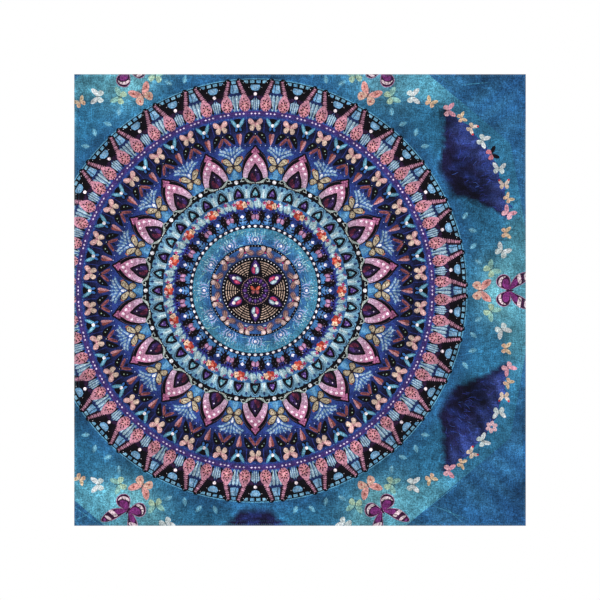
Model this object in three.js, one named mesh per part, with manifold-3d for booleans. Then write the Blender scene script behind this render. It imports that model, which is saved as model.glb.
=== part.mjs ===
// A square printed tapestry on a hidden hanging kit: the cloth with its hems, a rod in a sleeve
// at the top, a weight bar in a sleeve at the bottom, and two adhesive wall hooks.
// Millimetres. +Z is up, +X is to the right seen from the front, and the wall is the plane y = 0
// with the whole object in front of it, at negative y. The origin is on the wall, midway between
// the two hooks, at the height of the rod's axis.
import * as THREE from "three";
import { mergeVertices } from "three/addons/utils/BufferGeometryUtils.js";
import Module from "manifold-3d";

const wasm = await Module();
wasm.setup();

// ---- driving dimensions ----
const PANEL_SIDE = 900; // finished width and height of the cloth
const CLOTH_THICKNESS = 0.8;
const CORNER_RADIUS = 2;
const TOP_ABOVE_ROD = 24; // the cloth's top edge above the rod's axis
const CLOTH_BACK = 17.5; // the wall to the back of the cloth
const HEM_WIDTH = 11;
const HEM_THICKNESS = 0.8;
const SEAM_GAP = 0.3; // room left between two pieces that touch
const FLANGE = 6.5; // the sewn margin along each side of a sleeve
const SEAM_BEND = 1.2; // the radius at which a sleeve turns off the cloth

const ROD_RADIUS = 4;
const ROD_WALL = 1;
const ROD_HALF_LENGTH = 435;
const ROD_AXIS = 10; // the wall to the rod's axis
const ROD_SLEEVE_HALF_LENGTH = 402;
const ROD_SLEEVE_DROP = 24; // the rod's axis down to the sleeve's lower seam
const SLEEVE_SLACK = 0.4;
const CAP_RADIUS = 5.6;
const CAP_LENGTH = 6;
const CAP_OVERLAP = 4;

const BAR_THICKNESS = 3;
const BAR_HEIGHT = 15;
const BAR_HALF_LENGTH = 425;
const BAR_AXIS = 13.5; // the wall to the middle of the bar
const BAR_CAP_WALL = 1.1;
const BAR_CAP_LENGTH = 10;
const BAR_CAP_OVERLAP = 7;
const BAR_SLEEVE_HALF_LENGTH = 420;
const BAR_SLEEVE_RISE = 30; // the bar's middle up to the sleeve's upper seam

const HOOK_X = 424; // the middle of each hook from the middle of the cloth
const ARM_WIDTH = 12;
const ARM_THICKNESS = 2.4;
const LIP_HEIGHT = 1.5; // the hook's front lip above the rod's axis
const ARM_FOOT = 14; // where the arm's gusset meets the plate, below the rod's axis
const PLATE_WIDTH = 24;
const PLATE_HEIGHT = 38;
const PLATE_THICKNESS = 2.5;
const PLATE_TOP = 14;
const PLATE_RADIUS = 5;
const PAD_THICKNESS = 1;
const PAD_INSET = 1.5;

const LABEL_WIDTH = 26;
const LABEL_HEIGHT = 38;
const LABEL_THICKNESS = 0.5;
const LABEL_ABOVE_BOTTOM = 110;

const PANEL_TOP = TOP_ABOVE_ROD;
const PANEL_BOTTOM = TOP_ABOVE_ROD - PANEL_SIDE;
const HALF_SIDE = PANEL_SIDE / 2;
const ROD_SIDES = 32;
const ARC_STEPS = 16;

// ---- materials ----
function finish(color, roughness, metalness) {
  return new THREE.MeshStandardMaterial({ color, roughness, metalness });
}
const LOOKS = {
  print: () => finish(0x4a7796, 0.85, 0),
  hem: () => finish(0x8fa9b8, 0.88, 0),
  sleeve: () => finish(0xc9ced0, 0.88, 0),
  label: () => finish(0xeeeeea, 0.7, 0),
  steel: () => finish(0xb4b8bb, 0.35, 1),
  bar: () => finish(0xa9adb0, 0.42, 1),
  cap: () => finish(0xe4e5e4, 0.45, 0),
  hook: () => finish(0xf1f1ee, 0.35, 0),
  foam: () => finish(0xdfe3e4, 0.9, 0),
};

// ---- building blocks ----
const group = new THREE.Group();

function addPart(name, geometry, look) {
  const mesh = new THREE.Mesh(geometry, LOOKS[look]());
  mesh.name = name;
  group.add(mesh);
  return mesh;
}

// A rectangle with round corners, centred on its own origin.
function roundedRectangle(width, height, radius) {
  const x = width / 2 - radius;
  const y = height / 2 - radius;
  const shape = new THREE.Shape();
  shape.absarc(x, y, radius, 0, Math.PI / 2);
  shape.absarc(-x, y, radius, Math.PI / 2, Math.PI);
  shape.absarc(-x, -y, radius, Math.PI, 1.5 * Math.PI);
  shape.absarc(x, -y, radius, 1.5 * Math.PI, 2 * Math.PI);
  return shape;
}

// A plate parallel to the wall: its outline seen from the front, and how far its two faces
// stand from the wall.
function wallPlate(shape, centreX, centreZ, nearWall, farWall) {
  const plate = new THREE.ExtrudeGeometry(shape, {
    depth: farWall - nearWall,
    bevelEnabled: false,
    curveSegments: 6,
  });
  plate.rotateX(Math.PI / 2);
  plate.translate(centreX, -nearWall, centreZ);
  return plate;
}

// A section drawn as (distance from the wall, height), pushed along X between two ends.
function alongX(points, x0, x1) {
  const shape = new THREE.Shape(points);
  const bar = new THREE.ExtrudeGeometry(shape, { depth: x1 - x0, bevelEnabled: false });
  // Extrusion runs along +Z with the section in XY: turn it so that the section's first
  // coordinate points away from the wall and its second one up.
  const turn = new THREE.Matrix4().makeBasis(
    new THREE.Vector3(0, -1, 0),
    new THREE.Vector3(0, 0, 1),
    new THREE.Vector3(-1, 0, 0),
  );
  bar.applyMatrix4(turn);
  bar.translate(x1, 0, 0);
  return bar;
}

function arc(centreU, centreV, radius, startDegrees, endDegrees, steps = ARC_STEPS) {
  const points = [];
  for (let i = 0; i <= steps; i += 1) {
    const angle = THREE.MathUtils.degToRad(startDegrees + ((endDegrees - startDegrees) * i) / steps);
    points.push(
      new THREE.Vector2(centreU + radius * Math.cos(angle), centreV + radius * Math.sin(angle)),
    );
  }
  return points;
}

// The outline of a strip of even thickness laid along a centre line.
function strip(line, thickness) {
  const left = [];
  const right = [];
  line.forEach((point, i) => {
    const before = line[Math.max(i - 1, 0)];
    const after = line[Math.min(i + 1, line.length - 1)];
    const along = after.clone().sub(before).normalize();
    const normal = new THREE.Vector2(-along.y, along.x).multiplyScalar(thickness / 2);
    left.push(point.clone().add(normal));
    right.push(point.clone().sub(normal));
  });
  return left.concat(right.reverse());
}

function toManifold(geometry) {
  const bare = geometry.clone();
  bare.deleteAttribute("normal");
  bare.deleteAttribute("uv");
  const merged = mergeVertices(bare, 1e-4);
  return new wasm.Manifold(
    new wasm.Mesh({
      numProp: 3,
      vertProperties: new Float32Array(merged.attributes.position.array),
      triVerts: new Uint32Array(merged.index.array),
    }),
  );
}

function fromManifold(solid) {
  const mesh = solid.getMesh();
  const geometry = new THREE.BufferGeometry();
  geometry.setAttribute("position", new THREE.BufferAttribute(mesh.vertProperties, 3));
  geometry.setIndex(new THREE.BufferAttribute(mesh.triVerts, 1));
  geometry.computeVertexNormals();
  return geometry;
}

// ---- the cloth and its hems ----
function makeCloth() {
  const outline = roundedRectangle(PANEL_SIDE, PANEL_SIDE, CORNER_RADIUS);
  const middle = (PANEL_TOP + PANEL_BOTTOM) / 2;
  const front = CLOTH_BACK + CLOTH_THICKNESS;
  addPart("printed_cloth", wallPlate(outline, 0, middle, CLOTH_BACK, front), "print");
}

function addHem(name, width, height, x, z) {
  const back = CLOTH_BACK - SEAM_GAP;
  const outline = roundedRectangle(width, height, CORNER_RADIUS / 2);
  addPart(name, wallPlate(outline, x, z, back - HEM_THICKNESS, back), "hem");
}

function makeHems() {
  const sideHeight = PANEL_SIDE - 2 * (HEM_WIDTH + SEAM_GAP);
  const middle = (PANEL_TOP + PANEL_BOTTOM) / 2;
  const sideX = HALF_SIDE - HEM_WIDTH / 2;
  addHem("top_hem", PANEL_SIDE, HEM_WIDTH, 0, PANEL_TOP - HEM_WIDTH / 2);
  addHem("bottom_hem", PANEL_SIDE, HEM_WIDTH, 0, PANEL_BOTTOM + HEM_WIDTH / 2);
  addHem("left_hem", HEM_WIDTH, sideHeight, -sideX, middle);
  addHem("right_hem", HEM_WIDTH, sideHeight, sideX, middle);
}

function makeLabel() {
  const back = CLOTH_BACK - SEAM_GAP;
  const x = HALF_SIDE - HEM_WIDTH - SEAM_GAP - LABEL_WIDTH / 2;
  const z = PANEL_BOTTOM + LABEL_ABOVE_BOTTOM;
  const outline = roundedRectangle(LABEL_WIDTH, LABEL_HEIGHT, CORNER_RADIUS / 2);
  addPart("care_label", wallPlate(outline, x, z, back - LABEL_THICKNESS, back), "label");
}

// ---- the top rod, its caps and its sleeve ----
function turned(profile, sides) {
  const points = profile.map(([radius, x]) => new THREE.Vector2(radius, x));
  const body = new THREE.LatheGeometry(points, sides);
  body.rotateZ(-Math.PI / 2);
  return body;
}

function makeRod() {
  const bore = ROD_RADIUS - ROD_WALL;
  const profile = [
    [bore, -ROD_HALF_LENGTH],
    [ROD_RADIUS, -ROD_HALF_LENGTH],
    [ROD_RADIUS, ROD_HALF_LENGTH],
    [bore, ROD_HALF_LENGTH],
    [bore, -ROD_HALF_LENGTH],
  ];
  addPart("hanging_rod", turned(profile, ROD_SIDES), "steel").position.y = -ROD_AXIS;
}

function makeRodCap(name, side) {
  const socket = ROD_RADIUS + SEAM_GAP;
  const floor = CAP_OVERLAP + SEAM_GAP;
  const round = 1;
  const profile = [
    [0, floor],
    [socket, floor],
    [socket, 0],
    [CAP_RADIUS, 0],
    [CAP_RADIUS, CAP_LENGTH - round],
    [CAP_RADIUS - round * 0.3, CAP_LENGTH - round * 0.3],
    [CAP_RADIUS - round, CAP_LENGTH],
    [0, CAP_LENGTH],
  ];
  const cap = addPart(name, turned(profile, ROD_SIDES), "cap");
  cap.position.set(side * (ROD_HALF_LENGTH - CAP_OVERLAP), -ROD_AXIS, 0);
  cap.rotation.z = side < 0 ? Math.PI : 0;
}

// A strip sewn flat on the cloth above the rod, wrapped over the rod and round its back, and
// brought forward again to a lower seam, with slack under the rod.
function makeRodSleeve() {
  const radius = ROD_RADIUS + SLEEVE_SLACK + HEM_THICKNESS / 2;
  const sewn = CLOTH_BACK - SEAM_GAP - HEM_THICKNESS / 2;
  const top = radius + HEM_THICKNESS / 2 + FLANGE;
  const lowerSeam = new THREE.Vector2(sewn, -ROD_SLEEVE_DROP);
  // The strip leaves the rod where the line to the lower seam touches its circle.
  const reach = lowerSeam.clone().sub(new THREE.Vector2(ROD_AXIS, 0));
  const leaves = THREE.MathUtils.radToDeg(reach.angle() - Math.acos(radius / reach.length()));
  const line = [
    new THREE.Vector2(sewn, top),
    ...arc(sewn - SEAM_BEND, radius + SEAM_BEND, SEAM_BEND, 0, -90, 4),
    ...arc(ROD_AXIS, 0, radius, 90, leaves),
    lowerSeam,
    new THREE.Vector2(sewn, -ROD_SLEEVE_DROP - FLANGE),
  ];
  const outline = strip(line, HEM_THICKNESS);
  const half = ROD_SLEEVE_HALF_LENGTH;
  addPart("rod_sleeve", alongX(outline, -half, half), "sleeve");
}

// ---- the weight bar, its caps and its sleeve ----
const CAP_HALF_THICKNESS = BAR_THICKNESS / 2 + BAR_CAP_WALL;
const CAP_HALF_HEIGHT = BAR_HEIGHT / 2 + BAR_CAP_WALL + 0.2;
const POCKET_HALF_HEIGHT = CAP_HALF_HEIGHT + SLEEVE_SLACK + HEM_THICKNESS / 2;
const BAR_Z =
  PANEL_BOTTOM + HEM_WIDTH + SEAM_GAP + FLANGE + POCKET_HALF_HEIGHT + HEM_THICKNESS / 2;

function barBlock(halfThickness, halfHeight, x0, x1, radius) {
  const shape = roundedRectangle(2 * halfThickness, 2 * halfHeight, radius);
  const points = shape.getPoints(4).map((p) => new THREE.Vector2(p.x + BAR_AXIS, p.y + BAR_Z));
  return alongX(points, x0, x1);
}

function makeBar() {
  const half = BAR_HALF_LENGTH;
  const block = barBlock(BAR_THICKNESS / 2, BAR_HEIGHT / 2, -half, half, 0.6);
  addPart("weight_bar", block, "bar");
}

function makeBarCap(name, side) {
  const inner = BAR_HALF_LENGTH - BAR_CAP_OVERLAP;
  const ends = [side * inner, side * (inner + BAR_CAP_LENGTH)].sort((a, b) => a - b);
  const socketEnds = [side * (inner - 1), side * (BAR_HALF_LENGTH + SEAM_GAP)].sort((a, b) => a - b);
  const outside = barBlock(CAP_HALF_THICKNESS, CAP_HALF_HEIGHT, ...ends, 1.2);
  const socket = barBlock(
    BAR_THICKNESS / 2 + SEAM_GAP,
    BAR_HEIGHT / 2 + SEAM_GAP,
    ...socketEnds,
    0.6,
  );
  addPart(name, fromManifold(toManifold(outside).subtract(toManifold(socket))), "cap");
}

// A strip sewn flat on the cloth above the bar, brought back over it and down behind it, and
// forward under it to a lower seam. The bar lies in the bottom of the pocket.
function makeBarSleeve() {
  const sewn = CLOTH_BACK - SEAM_GAP - HEM_THICKNESS / 2;
  const back = BAR_AXIS - CAP_HALF_THICKNESS - SEAM_GAP - HEM_THICKNESS / 2;
  const half = POCKET_HALF_HEIGHT;
  const line = [
    new THREE.Vector2(sewn, BAR_SLEEVE_RISE + FLANGE),
    new THREE.Vector2(sewn, BAR_SLEEVE_RISE),
    ...arc(back + SEAM_BEND, half - SEAM_BEND, SEAM_BEND, 160, 180, 2),
    ...arc(back + SEAM_BEND, SEAM_BEND - half, SEAM_BEND, 180, 270, 4),
    ...arc(sewn - SEAM_BEND, -half - SEAM_BEND, SEAM_BEND, 90, 0, 4),
    new THREE.Vector2(sewn, -half - HEM_THICKNESS / 2 - FLANGE),
  ].map((p) => new THREE.Vector2(p.x, p.y + BAR_Z));
  const outline = strip(line, HEM_THICKNESS);
  const length = BAR_SLEEVE_HALF_LENGTH;
  addPart("bar_sleeve", alongX(outline, -length, length), "sleeve");
}

// ---- the wall hooks ----
function hookArmSection() {
  const inner = ROD_RADIUS + SEAM_GAP;
  const outer = inner + ARM_THICKNESS;
  const plateMiddle = PAD_THICKNESS + SEAM_GAP + PLATE_THICKNESS / 2;
  const tip = ROD_AXIS + (inner + outer) / 2;
  return [
    new THREE.Vector2(plateMiddle, -ARM_FOOT),
    new THREE.Vector2(plateMiddle, ROD_RADIUS),
    new THREE.Vector2(ROD_AXIS - inner, LIP_HEIGHT),
    ...arc(ROD_AXIS, 0, inner, 180, 360),
    ...arc(tip, LIP_HEIGHT, ARM_THICKNESS / 2, 180, 0, 8),
    ...arc(ROD_AXIS, 0, outer, 0, -115),
  ];
}

function makeHook(name, side) {
  const middle = PLATE_TOP - PLATE_HEIGHT / 2;
  const nearWall = PAD_THICKNESS + SEAM_GAP;
  const outline = roundedRectangle(PLATE_WIDTH, PLATE_HEIGHT, PLATE_RADIUS);
  const x = side * HOOK_X;
  const plate = wallPlate(outline, x, middle, nearWall, nearWall + PLATE_THICKNESS);
  const arm = alongX(hookArmSection(), x - ARM_WIDTH / 2, x + ARM_WIDTH / 2);
  addPart(name, fromManifold(toManifold(plate).add(toManifold(arm))), "hook");
}

function makePad(name, side) {
  const middle = PLATE_TOP - PLATE_HEIGHT / 2;
  const width = PLATE_WIDTH - 2 * PAD_INSET;
  const height = PLATE_HEIGHT - 2 * PAD_INSET;
  const outline = roundedRectangle(width, height, PLATE_RADIUS - PAD_INSET);
  addPart(name, wallPlate(outline, side * HOOK_X, middle, 0, PAD_THICKNESS), "foam");
}

makeCloth();
makeHems();
makeLabel();
makeRod();
makeRodSleeve();
makeBar();
makeBarSleeve();
for (const [word, side] of [["left", -1], ["right", 1]]) {
  makeRodCap(`rod_cap_${word}`, side);
  makeBarCap(`bar_cap_${word}`, side);
  makeHook(`wall_hook_${word}`, side);
  makePad(`adhesive_pad_${word}`, side);
}

export default group;
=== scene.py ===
"""A printed mandala tapestry on its hanging kit, around the frame's hooks, rod and weight bar."""
import math
import random

import bpy
import numpy as np
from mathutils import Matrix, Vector
from mathutils.geometry import delaunay_2d_cdt


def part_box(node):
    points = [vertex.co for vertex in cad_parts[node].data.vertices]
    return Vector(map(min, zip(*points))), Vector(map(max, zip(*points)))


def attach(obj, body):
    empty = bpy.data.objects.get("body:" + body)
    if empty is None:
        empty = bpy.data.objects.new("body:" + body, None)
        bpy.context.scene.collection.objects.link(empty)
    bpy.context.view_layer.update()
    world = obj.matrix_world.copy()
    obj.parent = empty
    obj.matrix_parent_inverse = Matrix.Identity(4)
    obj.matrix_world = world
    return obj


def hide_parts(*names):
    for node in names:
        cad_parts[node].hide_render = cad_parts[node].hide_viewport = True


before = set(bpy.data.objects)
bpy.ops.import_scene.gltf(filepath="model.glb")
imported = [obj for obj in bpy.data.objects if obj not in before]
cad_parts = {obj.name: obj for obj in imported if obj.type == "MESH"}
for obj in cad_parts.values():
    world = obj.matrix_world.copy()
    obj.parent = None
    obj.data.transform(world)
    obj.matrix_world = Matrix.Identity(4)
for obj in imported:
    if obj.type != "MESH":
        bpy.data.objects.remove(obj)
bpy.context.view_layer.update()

MM = 0.001
TAU = 2 * math.pi
GOLDEN_TURN = 2.4  # radians; spots placed at this turn from one to the next never line up
dice = random.Random(11)

# ==== Places, from the frame ====
cloth_low, cloth_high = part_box("printed_cloth")
MIDDLE_X = (cloth_high[0] + cloth_low[0]) / 2
MIDDLE_Z = (cloth_high[2] + cloth_low[2]) / 2
FRONT_Y = cloth_low[1]
# The rest is in millimetres, as everything drawn or built below is.
SIDE = (cloth_high[0] - cloth_low[0]) / MM
EDGE_LEFT, FRONT, BOTTOM = (v / MM for v in cloth_low)
EDGE_RIGHT, BACK, TOP = (v / MM for v in cloth_high)


def box_mm(name):
    low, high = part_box(name)
    return [v / MM for v in low], [v / MM for v in high]


# ==== Camera, light and floor ====
CAMERA_DISTANCE = 6.0
VIEW_WIDTH = 1.196  # what the picture takes in at the cloth, in metres
SENSOR = 36.0
WORLD_FILL = 0.62  # the white surroundings' light on the object; the camera sees them at 1
LIGHTS = (  # name, place, size, power
    ("key", (-1.6, -3.2, 1.0), 2.2, 46),
    ("fill", (2.0, -3.0, 0.2), 2.4, 26),
    ("back", (0.6, 2.6, 1.0), 2.0, 26),
)
FLOOR_BELOW = 0.72  # the cloth's middle down to the floor
FLOOR_HALF_WIDTH = 1.5
FLOOR_NEAR = -1.9
FLOOR_FAR = 1.1


def add_object(name, data):
    made = bpy.data.objects.new(name, data)
    bpy.context.collection.objects.link(made)
    return made


def make_camera():
    data = bpy.data.cameras.new("camera")
    data.sensor_width = SENSOR
    data.lens = SENSOR * CAMERA_DISTANCE / VIEW_WIDTH
    camera = add_object("camera", data)
    camera.location = (MIDDLE_X, FRONT_Y - CAMERA_DISTANCE, MIDDLE_Z)
    camera.rotation_euler = (math.pi / 2, 0, 0)
    bpy.context.scene.camera = camera


def make_light(name, place, size, power):
    data = bpy.data.lights.new(name, "AREA")
    data.shape = "SQUARE"
    data.size = size
    data.energy = power
    light = add_object(name, data)
    light.location = place
    aim = Vector((MIDDLE_X, FRONT_Y, MIDDLE_Z)) - Vector(place)
    light.rotation_euler = aim.to_track_quat("-Z", "Y").to_euler()


def make_world():
    """White surroundings, dimmer for everything but the camera."""
    world = bpy.data.worlds.new("studio")
    bpy.context.scene.world = world
    world.use_nodes = True
    nodes = world.node_tree.nodes
    links = world.node_tree.links
    nodes.clear()
    mix = nodes.new("ShaderNodeMixShader")
    for socket, strength in ((1, WORLD_FILL), (2, 1.0)):
        white = nodes.new("ShaderNodeBackground")
        white.inputs["Color"].default_value = (1, 1, 1, 1)
        white.inputs["Strength"].default_value = strength
        links.new(white.outputs[0], mix.inputs[socket])
    path = nodes.new("ShaderNodeLightPath")
    links.new(path.outputs["Is Camera Ray"], mix.inputs["Fac"])
    out = nodes.new("ShaderNodeOutputWorld")
    links.new(mix.outputs[0], out.inputs["Surface"])


def make_floor():
    z = MIDDLE_Z - FLOOR_BELOW
    w = FLOOR_HALF_WIDTH
    corners = [(-w, FLOOR_NEAR, z), (w, FLOOR_NEAR, z), (w, FLOOR_FAR, z), (-w, FLOOR_FAR, z)]
    mesh = bpy.data.meshes.new("floor")
    mesh.from_pydata(corners, [], [(0, 1, 2, 3)])
    mesh.materials.append(Shader("floor_white", 0.9).base("#f4f4f3").material)
    add_object("floor", mesh)


# ==== Colours and materials ====
def colour(text):
    """A #rrggbb colour as linear red, green and blue."""
    parts = [int(text[i:i + 2], 16) / 255 for i in (1, 3, 5)]
    return tuple(c / 12.92 if c <= 0.04045 else ((c + 0.055) / 1.055) ** 2.4 for c in parts)


class Shader:
    """One principled material, with the few kinds of node that the materials here share."""

    def __init__(self, name, roughness, **sockets):
        self.material = bpy.data.materials.new(name)
        self.material.use_nodes = True
        self.nodes = self.material.node_tree.nodes
        self.links = self.material.node_tree.links
        self.main = self.nodes["Principled BSDF"]
        for socket, value in {"Roughness": roughness, **sockets}.items():
            self.feed(self.main.inputs[socket.replace("_", " ")], value)
        self.place = self.node("TexCoord", "Object")

    def feed(self, socket, value):
        """Links a socket to an output, or sets it to a #rrggbb colour or a number."""
        if isinstance(value, bpy.types.NodeSocket):
            self.links.new(value, socket)
        else:
            socket.default_value = (*colour(value), 1.0) if isinstance(value, str) else value

    def node(self, kind, result, settings=(), **inputs):
        """One output of a new node, whose inputs are fed by name."""
        made = self.nodes.new("ShaderNode" + kind)
        for name, value in settings:
            setattr(made, name, value)
        for name, value in inputs.items():
            self.feed(made.inputs[name.replace("_", " ")], value)
        return made.outputs[result]

    def mesh_colour(self, layer):
        node = self.nodes.new("ShaderNodeVertexColor")
        node.layer_name = layer
        return node.outputs

    def noise(self, scale, detail=3.0, stretch=(1, 1, 1)):
        """Noise from 0 to 1; scale is in features per metre."""
        where = self.node("Mapping", "Vector", Vector=self.place, Scale=[scale * s for s in stretch])
        return self.node("TexNoise", "Fac", Vector=where, Scale=1.0, Detail=detail)

    def waves(self, axis, pitch):
        """Even bands across an axis, 0 to 1, with a pitch in metres."""
        # The texture's wave turns through 20 radians for each unit of its scale.
        bands = [("bands_direction", axis)]
        return self.node("TexWave", "Fac", bands, Vector=self.place, Scale=TAU / 20 / pitch)

    def ranged(self, value, low, high, new_low=0.0, new_high=1.0):
        return self.node("MapRange", "Result", Value=value, From_Min=low, From_Max=high,
                         To_Min=new_low, To_Max=new_high)

    def maths(self, kind, a, b):
        node = self.nodes.new("ShaderNodeMath")
        node.operation = kind
        for socket, value in zip(node.inputs, (a, b)):
            self.feed(socket, value)
        return node.outputs[0]

    def product(self, first, *others):
        for other in others:
            first = self.maths("MULTIPLY", first, other)
        return first

    def mix(self, factor, a, b):
        """A blend of two colours."""
        node = self.nodes.new("ShaderNodeMix")
        node.data_type = "RGBA"
        colours = [s for s in node.inputs if s.type == "RGBA"]
        for socket, value in zip((node.inputs["Factor"], *colours), (factor, a, b)):
            self.feed(socket, value)
        return next(s for s in node.outputs if s.type == "RGBA")

    def base(self, value):
        self.feed(self.main.inputs["Base Color"], value)
        return self

    def rough(self, value):
        self.feed(self.main.inputs["Roughness"], value)

    def bump(self, height, distance, strength):
        normal = self.node("Bump", "Normal", Height=height, Distance=distance, Strength=strength)
        self.feed(self.main.inputs["Normal"], normal)
        return self.material


def cloth_grain(shader):
    """Slubs along both thread directions, 0 to 1, for colour and for bump."""
    weft = shader.noise(60, 4.0, (1.0, 1.0, 9.0))
    warp = shader.noise(60, 4.0, (9.0, 1.0, 1.0))
    return shader.maths("MULTIPLY", shader.maths("ADD", weft, warp), 0.5)


def printed_material():
    """The print's ink colours, mottled as dye takes in cloth, on a fine slubbed weave.
    The colour's alpha says how much the dye's own clouds and creases show."""
    shader = Shader("printed_cloth_front", 0.9, Specular_IOR_Level=0.14, Sheen_Weight=0.02)
    ink = shader.mesh_colour("print")
    grain = cloth_grain(shader)
    threads = shader.ranged(grain, 0.37, 0.63, 0.66, 1.3)
    fleck = shader.ranged(shader.noise(420, 1.0), 0.34, 0.66, 0.6, 1.42)
    bloom = shader.ranged(shader.noise(70, 6.0), 0.32, 0.68, 0.72, 1.26)
    cloud = shader.ranged(shader.noise(13, 9.0), 0.34, 0.66, 0.62, 1.36)
    folds = shader.maths("SUBTRACT", shader.noise(22, 4.0, (1.0, 1.0, 1.5)), 0.5)
    ridge = shader.ranged(shader.maths("ABSOLUTE", folds, 0.0), 0.0, 0.022, 1.0, 0.0)
    crease = shader.ranged(ridge, 0.0, 1.0, 1.0, 1.42)
    wild = shader.maths("SUBTRACT", shader.product(cloud, crease), 1.0)
    calm = shader.maths("MAXIMUM", shader.maths("ADD", shader.product(wild, ink["Alpha"]), 1.0), 0.12)
    value = shader.product(threads, fleck, shader.product(bloom, calm))
    scale = [("operation", "SCALE")]
    shader.base(shader.node("VectorMath", "Vector", scale, Vector=ink["Color"], Scale=value))
    return shader.bump(grain, 0.0006, 0.5)


# ==== Outlines: lists of (across, out) points in millimetres ====
def smooth(points, steps=2):
    """A closed curve through every point, with a few steps between each two."""
    n = len(points)
    out = []
    for i in range(n):
        a, b, c, d = (points[(i + k) % n] for k in (-1, 0, 1, 2))
        for j in range(steps):
            t = j / steps
            out.append(tuple(
                0.5 * (2 * b[k] + (c[k] - a[k]) * t + (2 * a[k] - 5 * b[k] + 4 * c[k] - d[k]) * t * t
                       + (3 * b[k] - a[k] - 3 * c[k] + d[k]) * t ** 3)
                for k in (0, 1)))
    return out


def whole(half):
    """A shape that is even left and right, from its right-hand points, top to bottom."""
    other = [(-u, v) for u, v in reversed(half) if abs(u) > 1e-6]
    return list(half) + other


def mirror(outline):
    return [(-u, v) for u, v in outline]


def turned(outline, tilt, u=0.0, v=0.0, size=1.0):
    """An outline turned clockwise by tilt degrees and scaled, then moved by (u, v)."""
    c, s = math.cos(math.radians(tilt)) * size, math.sin(math.radians(tilt)) * size
    return [(u + x * c + y * s, v - x * s + y * c) for x, y in outline]


def oval(u, v, wide, tall, sides=10, tilt=0.0):
    turns = [TAU * i / sides for i in range(sides)]
    return turned([(wide * math.sin(t), tall * math.cos(t)) for t in turns], tilt, u, v)


def dot(u, v, radius, sides=7):
    return oval(u, v, radius, radius, sides)


def leaf(length, width, tilt=0.0, u=0.0, v=0.0):
    """A leaf from (u, v), pointed at both ends, leaning clockwise by tilt degrees."""
    half = [(0, length), (0.35 * width, 0.72 * length), (0.5 * width, 0.42 * length),
            (0.3 * width, 0.14 * length), (0, 0)]
    return turned(whole(half), tilt, u, v)


def stroke(points, width):
    """A thin line through points, thickest in its middle."""
    left, right = [], []
    last = len(points) - 1
    for i, (u, v) in enumerate(points):
        before, after = points[max(i - 1, 0)], points[min(i + 1, last)]
        du, dv = after[0] - before[0], after[1] - before[1]
        size = math.hypot(du, dv) or 1.0
        w = width * (0.25 + 0.25 * math.sin(math.pi * i / last))
        left.append((u - dv / size * w, v + du / size * w))
        right.append((u + dv / size * w, v - du / size * w))
    return left + right[::-1]


def bow(u, v, radius, start, end, width, steps=6):
    """A thin curved line: an arc about (u, v), angles in degrees anticlockwise from the right."""
    turns = [math.radians(start + (end - start) * i / steps) for i in range(steps + 1)]
    return stroke([(u + radius * math.cos(t), v + radius * math.sin(t)) for t in turns], width)


def halves(outline, right, left):
    """An outline and its mirror image, each in its own ink."""
    return [(outline, right), (mirror(outline), left)]


def both(parts):
    """Each part and its mirror image."""
    return [(side, ink) for outline, ink in parts for side in (outline, mirror(outline))]


def moved(parts, tilt=0.0, size=1.0, u=0.0, v=0.0):
    return [(turned(outline, tilt, u, v, size), ink) for outline, ink in parts]


# ==== The artwork ====
CENTRE_X = -0.099 * SIDE  # the mandala's centre from the cloth's middle
CENTRE_Z = 0.021 * SIDE
BLACK = "#0d0b13"
RIM = 424.0  # the mandala's radius


def place(radius, angle):
    """The point at a distance and an angle, in radians, from the mandala's centre."""
    return CENTRE_X + radius * math.cos(angle), CENTRE_Z + radius * math.sin(angle)


class Artwork:
    """Flat shapes in the order they are painted, each an outline and an ink.

    An ink is a colour, or a function of two arrays of places that gives a colour for each."""

    def __init__(self):
        self.outlines = []
        self.inks = []

    def add(self, outline, ink):
        # The cutter needs every outline anticlockwise.
        turning = sum(a[0] * b[1] - b[0] * a[1] for a, b in zip(outline, outline[1:] + outline[:1]))
        self.outlines.append(outline if turning > 0 else outline[::-1])
        self.inks.append(ink)

    def at(self, degrees, radius, parts):
        """Parts drawn about a point on a ring, with out pointing away from the centre."""
        c, s = math.cos(math.radians(degrees)), math.sin(math.radians(degrees))
        for outline, ink in parts:
            self.add([(CENTRE_X + (radius + v) * c + u * s, CENTRE_Z + (radius + v) * s - u * c)
                      for u, v in outline], ink)

    def ring(self, count, radius, parts, start=90.0):
        for i in range(count):
            self.at(start - 360 * i / count, radius, parts)

    def disc(self, radius, ink, sides=180):
        self.add([place(radius, TAU * i / sides) for i in range(sides)], ink)

    def arc_bar(self, radius, thickness, start, end, ink, steps=3):
        angles = [math.radians(start + (end - start) * i / steps) for i in range(steps + 1)]
        outer = [place(radius + thickness / 2, a) for a in angles]
        inner = [place(radius - thickness / 2, a) for a in reversed(angles)]
        self.add(outer + inner, ink)


def polar(x, z):
    return np.hypot(x - CENTRE_X, z - CENTRE_Z), np.degrees(np.arctan2(z - CENTRE_Z, x - CENTRE_X))


def fade(value, low, high):
    """A soft step from 0 at low to 1 at high."""
    t = np.clip((value - low) / (high - low), 0, 1)
    return (t * t * (3 - 2 * t))[:, None]


def toward(out, text, share):
    """Colours moved a share of the way to another one."""
    return out + (np.array(colour(text)) - out) * share


def wash(inner_radius, inner, outer_radius, outer):
    """An ink that runs from one colour to another with the distance from the centre."""
    def ink(x, z):
        radius, _ = polar(x, z)
        return toward(np.array(colour(inner)), outer, fade(radius, inner_radius, outer_radius))
    return ink


# ---- the field outside the mandala ----
LOBES = 6
LOBE_STEP = 360 / LOBES


def lobe_offset(degrees):
    """The angle from the nearest lobe's axis."""
    return (degrees + LOBE_STEP / 2) % LOBE_STEP - LOBE_STEP / 2


def garland_radius(offset):
    """Where the chain of butterflies runs, at an angle from a lobe's axis."""
    away = (LOBE_STEP / 2 - abs(offset)) / (LOBE_STEP / 2)
    return 442 + 102 * (1 - away ** 2) ** 0.9


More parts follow.
